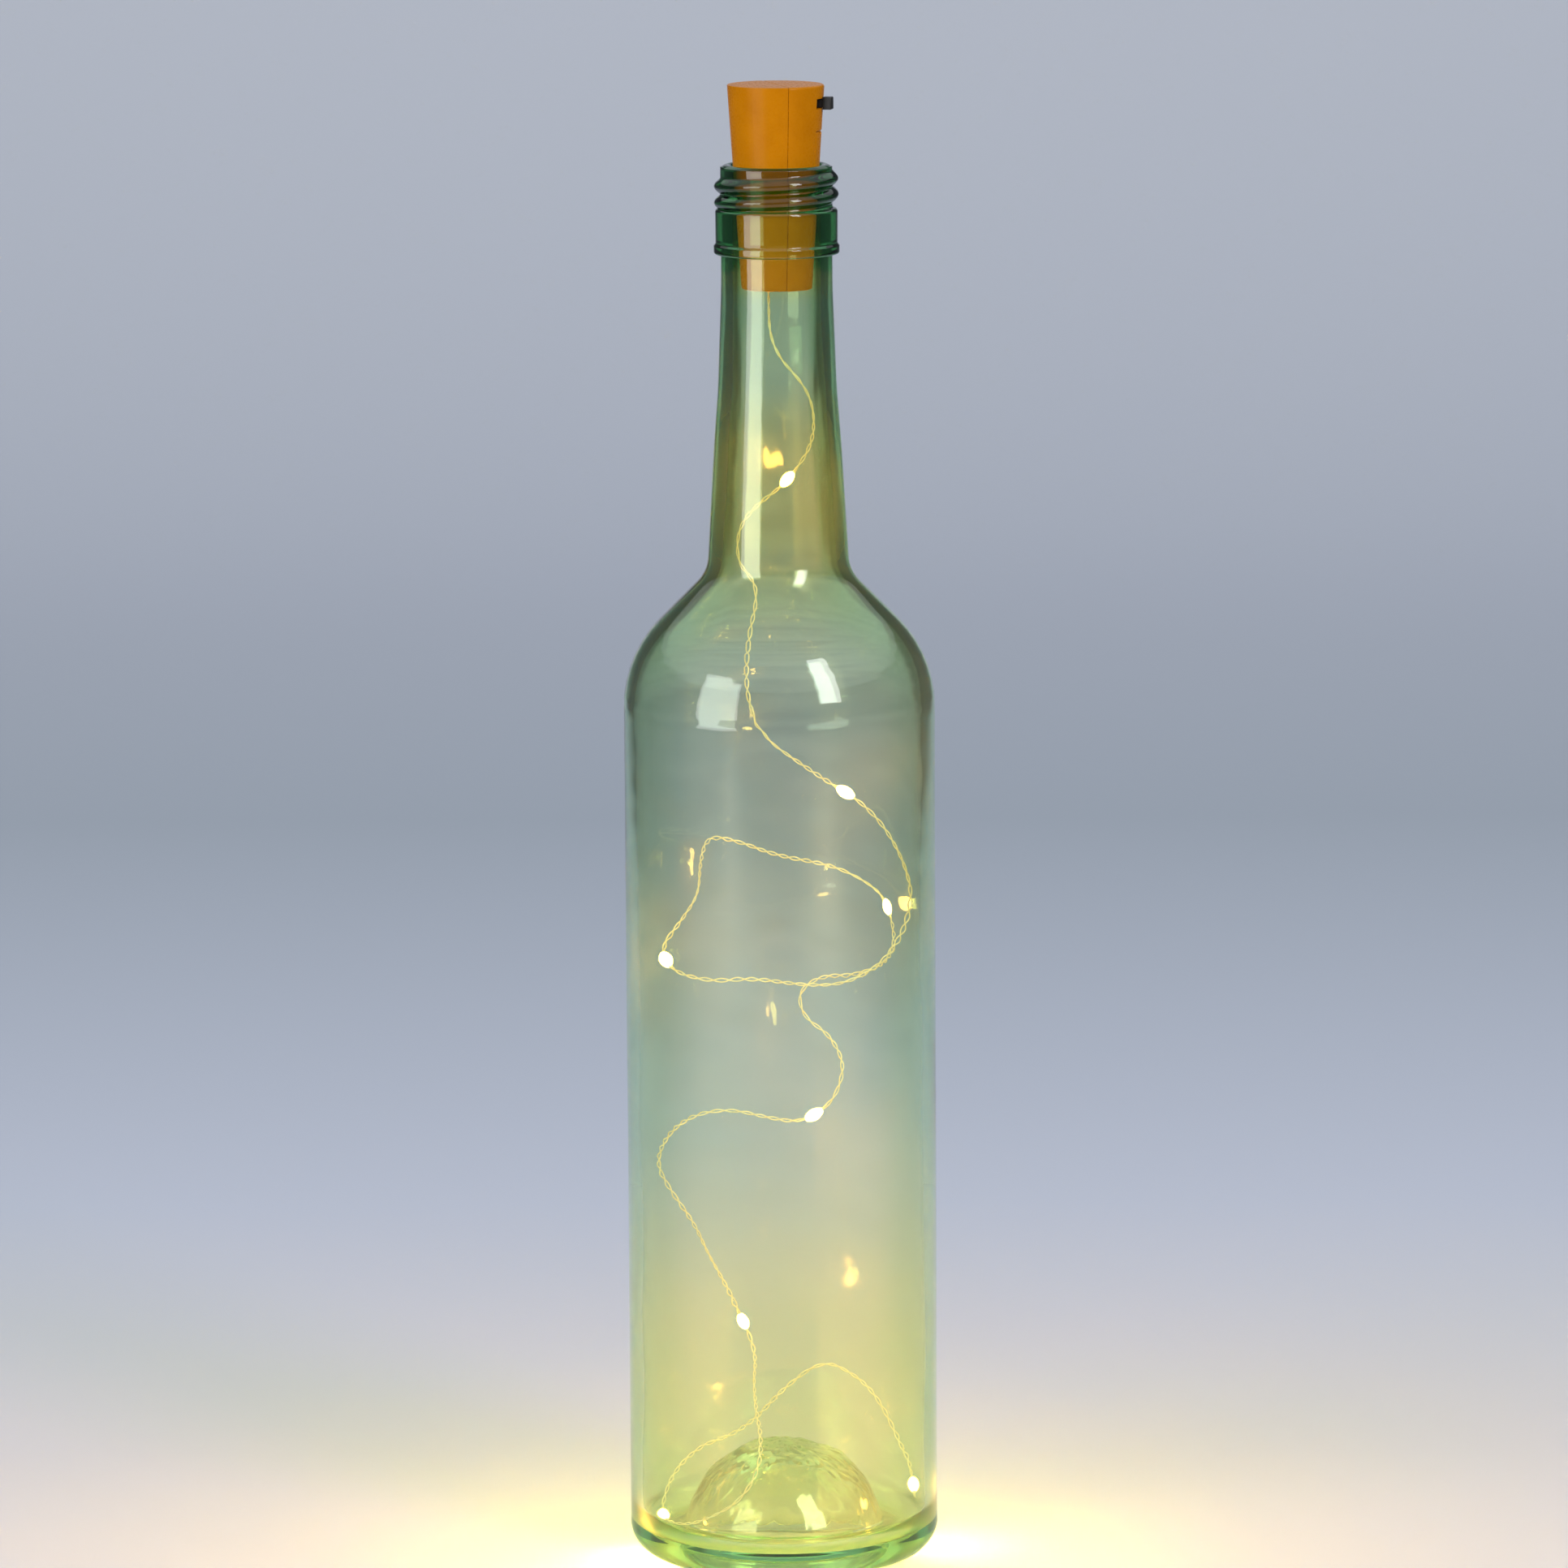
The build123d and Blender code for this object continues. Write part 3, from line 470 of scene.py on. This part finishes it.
def softened(node, edge_mm, sharpest=28, skin_only=False):
    """A copy of a CAD node whose edges are rounded as a mould leaves them."""
    mesh = nodes[node].data.copy()
    mesh.name = node + "_moulded"
    shape = bmesh.new()
    shape.from_mesh(mesh)
    bmesh.ops.remove_doubles(shape, verts=shape.verts, dist=2e-6)
    bmesh.ops.dissolve_limit(
        shape, angle_limit=radians(0.6), verts=shape.verts, edges=shape.edges
    )
    edges = [
        edge
        for edge in shape.edges
        if len(edge.link_faces) == 2
        and edge.calc_face_angle() > radians(sharpest)
        and (not skin_only or all(on_skin(vertex) for vertex in edge.verts))
    ]
    bmesh.ops.bevel(
        shape,
        geom=edges,
        offset=edge_mm * MM,
        offset_type="OFFSET",
        segments=2,
        profile=0.5,
        affect="EDGES",
        clamp_overlap=not skin_only,
    )
    for face in shape.faces:
        face.smooth = True
    for edge in shape.edges:
        edge.smooth = not (
            len(edge.link_faces) == 2 and edge.calc_face_angle() > radians(40)
        )
    shape.to_mesh(mesh)
    shape.free()
    mesh.materials.clear()
    piece = bpy.data.objects.new(mesh.name, mesh)
    bpy.context.scene.collection.objects.link(piece)
    piece.modifiers.new("even_shading", "WEIGHTED_NORMAL").keep_sharp = True
    return piece


def moulded_plastic(name, colour, shade, rough, texture_mm, scale=1500):
    """Moulded plastic: a little mottled, with a fine spark-eroded texture."""
    material, shading, wires, shader = plain_material(name)
    mottle = grain(shading, wires, 180, 3.0)
    tones = [(0.3, shade), (0.7, colour)]
    wires.new(ramp(shading, wires, mottle, tones), shader.inputs["Base Color"])
    fine = grain(shading, wires, scale, 3.0, 0.6)
    wires.new(
        span(shading, wires, fine, rough - 0.07, rough + 0.07),
        shader.inputs["Roughness"],
    )
    bump(shading, wires, fine, texture_mm, shader)
    return material


ochre = moulded_plastic(
    "ochre_cork_plastic", (0.50, 0.172, 0.0015), (0.45, 0.15, 0.001), 0.28, 0.01
)
ochre_shader = ochre.node_tree.nodes["Principled BSDF"]
ochre_shader.inputs["Specular IOR Level"].default_value = 0.08
for node in ("cork_half_left", "cork_half_right"):
    half = softened(node, 0.22, skin_only=True)
    half.data.materials.append(ochre)
    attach(half, "cork_light")
    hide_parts(node)


# ---- Battery cover --------------------------------------------------------------------
# A slice of the cork's wall that slides down and off. Its top tab passes up behind the
# wall, a small notch takes a fingernail, and its foot carries its part of the floor.
cover = softened("battery_cover", 0.22, skin_only=True)
cover.data.materials.append(ochre)
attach(cover, "battery_cover")
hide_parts("battery_cover")


# ---- Battery holder -------------------------------------------------------------------
# A cradle moulded in off-white plastic between the halves. It is open towards the cover,
# and a channel up its back takes the two wires.
holder_white = moulded_plastic(
    "holder_off_white", (0.72, 0.70, 0.63), (0.62, 0.6, 0.53), 0.45, 0.015
)
holder = softened("battery_holder", 0.12)
holder.data.materials.append(holder_white)
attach(holder, "cork_light")
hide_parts("battery_holder")


# ---- Button cells, contacts and switch pins -------------------------------------------
# Pressed steel cans and tinned strip. The cans are bright with fine wiping marks, and the
# sprung contacts and pins are plated and a little dull.
def repainted(node, material):
    """Gives a CAD node that is kept as it is its own material."""
    nodes[node].data.materials.clear()
    nodes[node].data.materials.append(material)


def bright_metal(name, colour, rough, brushed):
    """Plated or stamped metal with fine marks along the given stretch."""
    material, shading, wires, shader = plain_material(name)
    shader.inputs["Metallic"].default_value = 1.0
    marks = grain(shading, wires, 900, 4.0, 0.6, brushed)
    dark = tuple(value * 0.82 for value in colour)
    tones = [(0.25, dark), (0.75, colour)]
    wires.new(ramp(shading, wires, marks, tones), shader.inputs["Base Color"])
    wires.new(
        span(shading, wires, marks, rough - 0.08, rough + 0.1),
        shader.inputs["Roughness"],
    )
    bump(shading, wires, marks, 0.004, shader)
    return material


cell_steel = bright_metal("cell_can_steel", (0.72, 0.73, 0.74), 0.24, (1, 1, 6))
tinned = bright_metal("tinned_strip", (0.74, 0.71, 0.62), 0.32, (3, 3, 1))
for number in (1, 2, 3):
    cell = softened(f"battery_cell_{number}", 0.12)
    cell.data.materials.append(cell_steel)
    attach(cell, "cork_light")
    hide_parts(f"battery_cell_{number}")
for node in ("contact_leaf", "contact_plate", "switch_terminals"):
    repainted(node, tinned)


# ---- Circuit board, its parts and the slide switch ------------------------------------
# A round green board on the housing's ledge, with one resistor and a slide switch in a
# folded steel case. The black lever comes through the housing and wears a black cap.
board_green, shading, wires, shader = plain_material("board_lacquer")
weave = grain(shading, wires, 420, 2.0, 0.5, (3, 1, 1))
lacquer = [(0.35, (0.01, 0.12, 0.04)), (0.65, (0.02, 0.17, 0.06))]
wires.new(ramp(shading, wires, weave, lacquer), shader.inputs["Base Color"])
shader.inputs["Roughness"].default_value = 0.3
bump(shading, wires, weave, 0.01, shader)
repainted("circuit_board", board_green)

black = moulded_plastic(
    "black_moulding", (0.016, 0.015, 0.014), (0.011, 0.01, 0.01), 0.42, 0.015
)
case_steel = bright_metal("switch_case_steel", (0.66, 0.67, 0.68), 0.3, (1, 6, 1))
repainted("switch_body", case_steel)
for node in ("switch_lever", "resistor"):
    repainted(node, black)
knob = softened("switch_knob", 0.08)
knob.data.materials.append(black)
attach(knob, "switch_slider")
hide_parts("switch_knob")


# ---- Wires inside the cork, and the glue at its foot ----------------------------------
# Lacquered copper wire runs from the board to the exit hole, and from the sprung contact
# to the board. A drop of set glue fills the exit hole and stands round the wire.
copper, shading, wires, shader = plain_material("lacquered_copper")
shader.inputs["Metallic"].default_value = 0.15
shader.inputs["Roughness"].default_value = 0.35
shader.inputs["Coat Weight"].default_value = 0.5
shader.inputs["Coat Roughness"].default_value = 0.15
drawn = grain(shading, wires, 700, 3.0)
copper_tones = [(0.3, (0.95, 0.7, 0.36)), (0.7, (1.0, 0.84, 0.52))]
wires.new(ramp(shading, wires, drawn, copper_tones), shader.inputs["Base Color"])
bump(shading, wires, drawn, 0.006, shader)
for node in ("feed_wire", "battery_lead"):
    repainted(node, copper)

set_glue, shading, wires, shader = plain_material("set_glue")
shader.inputs["Base Color"].default_value = (0.86, 0.82, 0.66, 1)
shader.inputs["Subsurface Weight"].default_value = 0.4
shader.inputs["Subsurface Radius"].default_value = (0.002, 0.0018, 0.0012)
beaded = grain(shading, wires, 500, 2.0)
wires.new(span(shading, wires, beaded, 0.12, 0.24), shader.inputs["Roughness"])
bump(shading, wires, beaded, 0.05, shader)
repainted("wire_seal", set_glue)


# ---- Light wire -----------------------------------------------------------------------
# One pair of fine lacquered wires, loosely twisted. It hangs from the cork's foot, comes
# down the neck, winds round the inside of the bottle and holds the bends it is given.
ROUTE = [
    (-2.0, -1.0, 308.9),
    (-2.0, -1.0, 303.5),
    (-1.7, -2.4, 298.0),
    (0.5, -4.4, 292.8),
    (4.3, -6.6, 288.7),
    (7.6, -5.4, 283.5),
    (8.9, -3.8, 278.0),
    (8.5, -2.0, 272.0),
    (5.0, 0.0, 266.0),
    (-1.0, 0.5, 260.0),
    (-6.8, 0.2, 255.2),
    (-10.2, -0.5, 249.5),
    (-10.0, -1.0, 243.5),
    (-6.3, -1.5, 239.3),
    (-5.0, -2.0, 233.5),
    (-6.8, -2.6, 226.0),
    (-7.8, -3.0, 217.5),
    (-7.2, -3.2, 208.5),
    (-3.5, -4.5, 200.8),
    (3.5, -7.5, 196.2),
    (12.0, -13.0, 191.5),
    (19.0, -16.0, 187.5),
    (25.0, -16.5, 180.5),
    (29.0, -13.5, 172.0),
    (31.3, -9.5, 163.0),
    (28.5, -12.0, 153.5),
    (22.5, -18.0, 147.5),
    (14.0, -23.5, 144.3),
    (4.0, -26.0, 145.0),
    (-6.5, -26.5, 146.8),
    (-16.5, -24.5, 145.6),
    (-25.5, -18.5, 147.0),
    (-28.0, -12.5, 151.5),
    (-25.0, -7.0, 156.0),
    (-19.8, 1.0, 161.8),
    (-19.8, 11.0, 168.2),
    (-18.0, 20.5, 172.8),
    (-11.5, 27.5, 170.8),
    (-2.0, 30.0, 167.0),
    (8.5, 29.5, 164.8),
    (18.0, 25.5, 163.0),
    (25.0, 19.5, 158.3),
    (28.0, 13.5, 153.7),
    (28.3, 5.5, 149.0),
    (25.0, -3.5, 145.8),
    (17.5, -12.5, 144.5),
    (9.3, -19.0, 145.8),
    (4.0, -22.2, 142.6),
    (5.2, -23.8, 136.8),
    (11.3, -25.8, 132.8),
    (14.6, -27.2, 126.2),
    (13.2, -27.8, 119.8),
    (10.5, -27.5, 115.5),
    (4.5, -28.5, 112.0),
    (-3.0, -28.8, 113.2),
    (-12.0, -27.3, 115.2),
    (-20.5, -23.5, 113.2),
    (-26.8, -18.0, 107.0),
    (-29.6, -12.5, 98.8),
    (-26.5, -8.5, 91.5),
    (-21.8, -4.7, 83.0),
    (-18.3, 1.2, 74.2),
    (-14.3, 7.5, 65.2),
    (-11.0, 12.5, 57.0),
    (-8.0, 15.0, 50.0),
    (-6.3, 11.0, 45.0),
    (-6.8, 1.5, 40.8),
    (-6.3, -8.3, 36.7),
    (-5.0, -17.5, 31.8),
    (-5.8, -24.8, 25.8),
    (-10.2, -27.3, 18.8),
    (-17.0, -25.2, 14.2),
    (-23.5, -20.5, 10.8),
    (-28.0, -14.8, 10.0),
    (-29.5, -7.2, 12.2),
    (-27.8, 0.5, 17.8),
    (-22.5, 9.0, 22.5),
    (-14.0, 16.0, 23.8),
    (-5.8, 20.5, 27.5),
    (1.0, 22.5, 35.5),
    (9.5, 22.0, 41.8),
    (18.0, 20.5, 38.5),
    (25.0, 16.5, 32.5),
    (29.8, 9.0, 25.0),
    (31.6, 1.0, 18.6),
    (31.3, -6.5, 14.2),
]
# Each light sits at the middle of the run that starts at this point of the route.
LIGHT_RUNS = [8, 20, 31, 41, 52, 63, 73, 84]
BEAD_LENGTH = 4.6
STRAND_DIA = 0.34
STRAND_SIDES = 7
ROUTE_STEP = 0.45
TWIST_LENGTH = 6.5
TIGHT, OPEN = 0.19, 0.5
# Up to here the pair lies close, to leave room for the battery cover slid down beside it.
PAST_COVER = 34.0


def along_route(points):
    """The route as close points, read from one smooth curve through its runs."""
    curve = bpy.data.curves.new("light_wire_route", "CURVE")
    curve.dimensions = "3D"
    curve.resolution_u = 24
    spline = curve.splines.new("NURBS")
    spline.points.add(len(points) - 1)
    for place, point in zip(spline.points, points):
        place.co = (point[0] * MM, point[1] * MM, point[2] * MM, 1)
    spline.order_u = 3
    spline.use_endpoint_u = True
    carrier = bpy.data.objects.new("light_wire_route", curve)
    bpy.context.scene.collection.objects.link(carrier)
    mesh = bpy.data.meshes.new_from_object(carrier)
    line = [vertex.co / MM for vertex in mesh.vertices]
    bpy.data.objects.remove(carrier)
    bpy.data.curves.remove(curve)
    bpy.data.meshes.remove(mesh)
    return line


def even_steps(line, step):
    """The line's points again, a step apart."""
    even = [line[0]]
    left = step
    for before, after in zip(line, line[1:]):
        run = (after - before).length
        done = 0.0
        while run - done >= left:
            done += left
            even.append(before.lerp(after, done / run))
            left = step
        left -= run - done
    even.append(line[-1])
    return even


def carried_frames(line):
    """Two directions square to the line at each point, carried along without twist."""
    frames = []
    side = Vector((1, 0, 0))
    for place, point in enumerate(line):
        ahead = line[min(place + 1, len(line) - 1)] - line[max(place - 1, 0)]
        ahead.normalize()
        side = (side - ahead * side.dot(ahead)).normalized()
        frames.append((side.copy(), ahead.cross(side)))
    return frames


def ring_faces(start, rings, sides):
    """Faces between rings of points, from the point at start on, with both ends shut."""
    faces = []
    for ring in range(rings - 1):
        for corner in range(sides):
            following = (corner + 1) % sides
            low = start + ring * sides
            high = low + sides
            faces.append(
                [low + corner, low + following, high + following, high + corner]
            )
    faces.append([start + corner for corner in reversed(range(sides))])
    last = start + (rings - 1) * sides
    faces.append([last + corner for corner in range(sides)])
    return faces


def tube(line, radius, sides, points, faces):
    """Adds a round tube along a line to the lists of points and faces."""
    start = len(points)
    for point, (side, up) in zip(line, carried_frames(line)):
        for corner in range(sides):
            angle = 2 * pi * corner / sides
            points.append(point + (side * cos(angle) + up * sin(angle)) * radius)
    faces += ring_faces(start, len(line), sides)


route_line = even_steps(along_route(ROUTE), ROUTE_STEP)
bead_places = []
for start in LIGHT_RUNS:
    first, second = Vector(ROUTE[start]), Vector(ROUTE[start + 1])
    bead_places.append(((first + second) / 2, (second - first).normalized()))
strands = [[], []]
for place, (point, (side, up)) in enumerate(
    zip(route_line, carried_frames(route_line))
):
    along = place * ROUTE_STEP
    wander = noise.noise(Vector((along * 0.05, 0, 0)))
    twist = 2 * pi * along / TWIST_LENGTH + 2.5 * wander
    gape = 0.5 + 0.9 * noise.noise(Vector((along * 0.045, 7, 0)))
    spread = TIGHT + (OPEN - TIGHT) * max(0.0, min(1.0, gape))
    nearest = min((point - centre).length for centre, _ in bead_places)
    near_bead = max(0.0, min(1.0, (nearest - BEAD_LENGTH / 2) / 3))
    past_cover = max(0.0, min(1.0, (along - PAST_COVER) / 6))
    spread = TIGHT + (spread - TIGHT) * min(near_bead, past_cover)
    apart = (side * cos(twist) + up * sin(twist)) * spread
    strands[0].append(point + apart)
    strands[1].append(point - apart)
wire_points, wire_faces = [], []
for strand in strands:
    tube(strand, STRAND_DIA / 2, STRAND_SIDES, wire_points, wire_faces)
light_wire = new_piece("light_wire_pair", wire_points, wire_faces)
light_wire.data.materials.append(copper)
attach(light_wire, "cork_light")
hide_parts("light_wire")


# ---- Lights ---------------------------------------------------------------------------
# A tiny chip soldered across the two wires in a drop of clear resin, which runs out along
# the wire at both ends. Lit, the whole drop glows warm white.
BEAD_DIA = 2.8
BEAD_TIP = 0.42
BEAD_RINGS = 20
BEAD_SIDES = 20

glowing_resin, shading, wires, shader = plain_material("glowing_resin")
shader.inputs["Base Color"].default_value = (1.0, 0.93, 0.75, 1)
shader.inputs["Roughness"].default_value = 0.08
facing = shading.new("ShaderNodeLayerWeight")
facing.inputs["Blend"].default_value = 0.5
glow = [(0.0, (1.0, 0.58, 0.2)), (0.3, (1.0, 0.56, 0.15)), (0.5, (1.0, 0.58, 0.1))]
wires.new(
    ramp(shading, wires, facing.outputs["Facing"], glow),
    shader.inputs["Emission Color"],
)
wires.new(
    faded(shading, wires, facing.outputs["Facing"], 0.35, 0.97, 1750, 1.4),
    shader.inputs["Emission Strength"],
)
glowing_resin.cycles.emission_sampling = "FRONT"
lit_phosphor, shading, wires, shader = plain_material("lit_phosphor")
shader.inputs["Base Color"].default_value = (1.0, 0.75, 0.2, 1)
shader.inputs["Emission Color"].default_value = (1.0, 0.82, 0.48, 1)
shader.inputs["Emission Strength"].default_value = 200
specks = grain(shading, wires, 4000, 2.0)
wires.new(span(shading, wires, specks, 0.3, 0.5), shader.inputs["Roughness"])

lights = []
for number, (centre, along) in enumerate(bead_places, start=1):
    side = along.cross(Vector((0, 0, 1))).normalized()
    up = along.cross(side)
    points = []
    for ring in range(BEAD_RINGS + 1):
        share = ring / BEAD_RINGS
        swell = sin(pi * share) ** 0.75
        slump = 0.12 * noise.noise(Vector((number * 3.1, share * 2.5, 0)))
        radius = BEAD_TIP + (BEAD_DIA / 2 - BEAD_TIP) * swell * (1 - abs(slump))
        middle = centre + along * (share - 0.5) * BEAD_LENGTH
        for corner in range(BEAD_SIDES):
            angle = 2 * pi * corner / BEAD_SIDES
            points.append(middle + (side * cos(angle) + up * sin(angle)) * radius)
    faces = ring_faces(0, BEAD_RINGS + 1, BEAD_SIDES)
    bead = new_piece(f"light_drop_{number}", points, faces)
    bead.data.materials.append(glowing_resin)
    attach(bead, "cork_light")
    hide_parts(f"led_bead_{number}")
    chip = nodes[f"led_chip_{number}"]
    repainted(chip.name, lit_phosphor)
    lights += [bead, chip]


# ---- Table, backdrop, lamps and camera ------------------------------------------------
# A round pale table that curves up into a low grey-blue wall, darker to the sides, so
# that the thick glass has dark edges. Soft light comes from above, from a tall lamp at the
# left and a higher one at the right. The camera looks down a little from the front.
TABLE_FLAT, TABLE_EDGE, WALL_TOP = 1.6, 3.0, 1.5
TABLE_SIDES, BEND_STEPS = 96, 24
cove = [Vector((0.0, 0.0)), Vector((TABLE_FLAT, 0.0))]
for step in range(1, BEND_STEPS + 1):
    bend = pi / 2 * step / BEND_STEPS
    reach = TABLE_EDGE - TABLE_FLAT
    cove.append(Vector((TABLE_FLAT + reach * sin(bend), reach * (1 - cos(bend)))))
cove.append(Vector((TABLE_EDGE, WALL_TOP)))
cove = stepped(cove, 0.1)
table_points, table_faces = [], []
for place, point in enumerate(cove):
    for side in range(TABLE_SIDES):
        angle = 2 * pi * side / TABLE_SIDES
        table_points.append(
            (point.x * sin(angle) / MM, point.x * cos(angle) / MM, point.y / MM)
        )
        if place:
            low, following = (place - 1) * TABLE_SIDES, (side + 1) % TABLE_SIDES
            high = low + TABLE_SIDES
            table_faces.append(
                [low + side, low + following, high + following, high + side]
            )
table = new_piece("table_and_backdrop", table_points, table_faces)
pale, shading, wires, shader = plain_material("pale_backdrop")
shader.inputs["Roughness"].default_value = 0.85
shader.inputs["Specular IOR Level"].default_value = 0.15
spot = axes_of(shading, wires)
across = combined(shading, wires, "ABSOLUTE", spot["X"])
outer = combined(
    shading,
    wires,
    "MAXIMUM",
    faded(shading, wires, across.outputs["Value"], 0.5, 0.85),
    faded(shading, wires, spot["Y"], -0.7, -1.1),
)
# From front to back the table runs from pale and warm, through darker grey-blue, to paler
# again towards the wall: painted falloff of light over the table.
depth = shading.new("ShaderNodeMapRange")
depth.inputs["From Min"].default_value = -0.05
depth.inputs["From Max"].default_value = 2.4
wires.new(spot["Y"], depth.inputs["Value"])
fade = [
    (0.0, (0.74, 0.66, 0.64)),
    (0.06, (0.61, 0.58, 0.60)),
    (0.18, (0.50, 0.53, 0.62)),
    (0.45, (0.39, 0.43, 0.49)),
    (0.7, (0.50, 0.53, 0.60)),
    (1.0, (0.66, 0.68, 0.74)),
]
toned = shading.new("ShaderNodeMix")
toned.data_type = "RGBA"
wires.new(outer.outputs["Value"], toned.inputs["Factor"])
wires.new(ramp(shading, wires, depth.outputs["Result"], fade), toned.inputs["A"])
toned.inputs["B"].default_value = (0.11, 0.12, 0.135, 1)
wires.new(toned.outputs["Result"], shader.inputs["Base Color"])
table.data.materials.append(pale)

world = bpy.data.worlds.new("studio")
bpy.context.scene.world = world
world.use_nodes = True
shading, wires = world.node_tree.nodes, world.node_tree.links
sky = shading["Background"]
sky.inputs["Color"].default_value = (0.90, 0.94, 1.0, 1)
heading = axes_of(shading, wires, "Generated")
overhead = faded(shading, wires, heading["Z"], 0.0, 0.65)
wires.new(span(shading, wires, overhead, 0.08, 0.85), sky.inputs["Strength"])


def soft_lamp(name, place, target, width, height, watts, colour):
    """A rectangular soft lamp that faces a point."""
    lamp = bpy.data.lights.new(name, "AREA")
    lamp.shape = "RECTANGLE"
    lamp.size = width
    lamp.size_y = height
    lamp.energy = watts
    lamp.color = colour
    stand = bpy.data.objects.new(name, lamp)
    stand.location = place
    aim = Vector(target) - Vector(place)
    stand.rotation_euler = aim.to_track_quat("-Z", "Y").to_euler()
    bpy.context.scene.collection.objects.link(stand)


soft_lamp(
    "left_lamp", (-1.1, -1.02, 0.62), (0, 0, 0.62), 0.88, 1.17, 15, (0.95, 0.98, 1)
)
soft_lamp(
    "right_lamp", (0.95, -1.16, 1.25), (0, 0, 0.8), 0.48, 1.4, 19, (0.96, 0.98, 1)
)

# The lens and the frame are in pixels of the photo.
LENS_PIXELS, FRAME_PIXELS, SENSOR_WIDTH = 10137, 1932, 36
PITCH, YAW, ROLL = radians(9.5), -atan2(5.2, LENS_PIXELS), radians(-0.34)
camera_data = bpy.data.cameras.new("camera")
camera_data.sensor_width = SENSOR_WIDTH
camera_data.lens = SENSOR_WIDTH * LENS_PIXELS / FRAME_PIXELS
camera = bpy.data.objects.new("camera", camera_data)
bpy.context.scene.collection.objects.link(camera)
camera.matrix_world = (
    Matrix.Translation((0, -1.954, 0.516))
    @ Matrix.Rotation(YAW, 4, "Z")
    @ Matrix.Rotation(pi / 2 - PITCH, 4, "X")
    @ Matrix.Rotation(ROLL, 4, "Z")
)
bpy.context.scene.camera = camera
bpy.context.scene.view_settings.view_transform = "Standard"
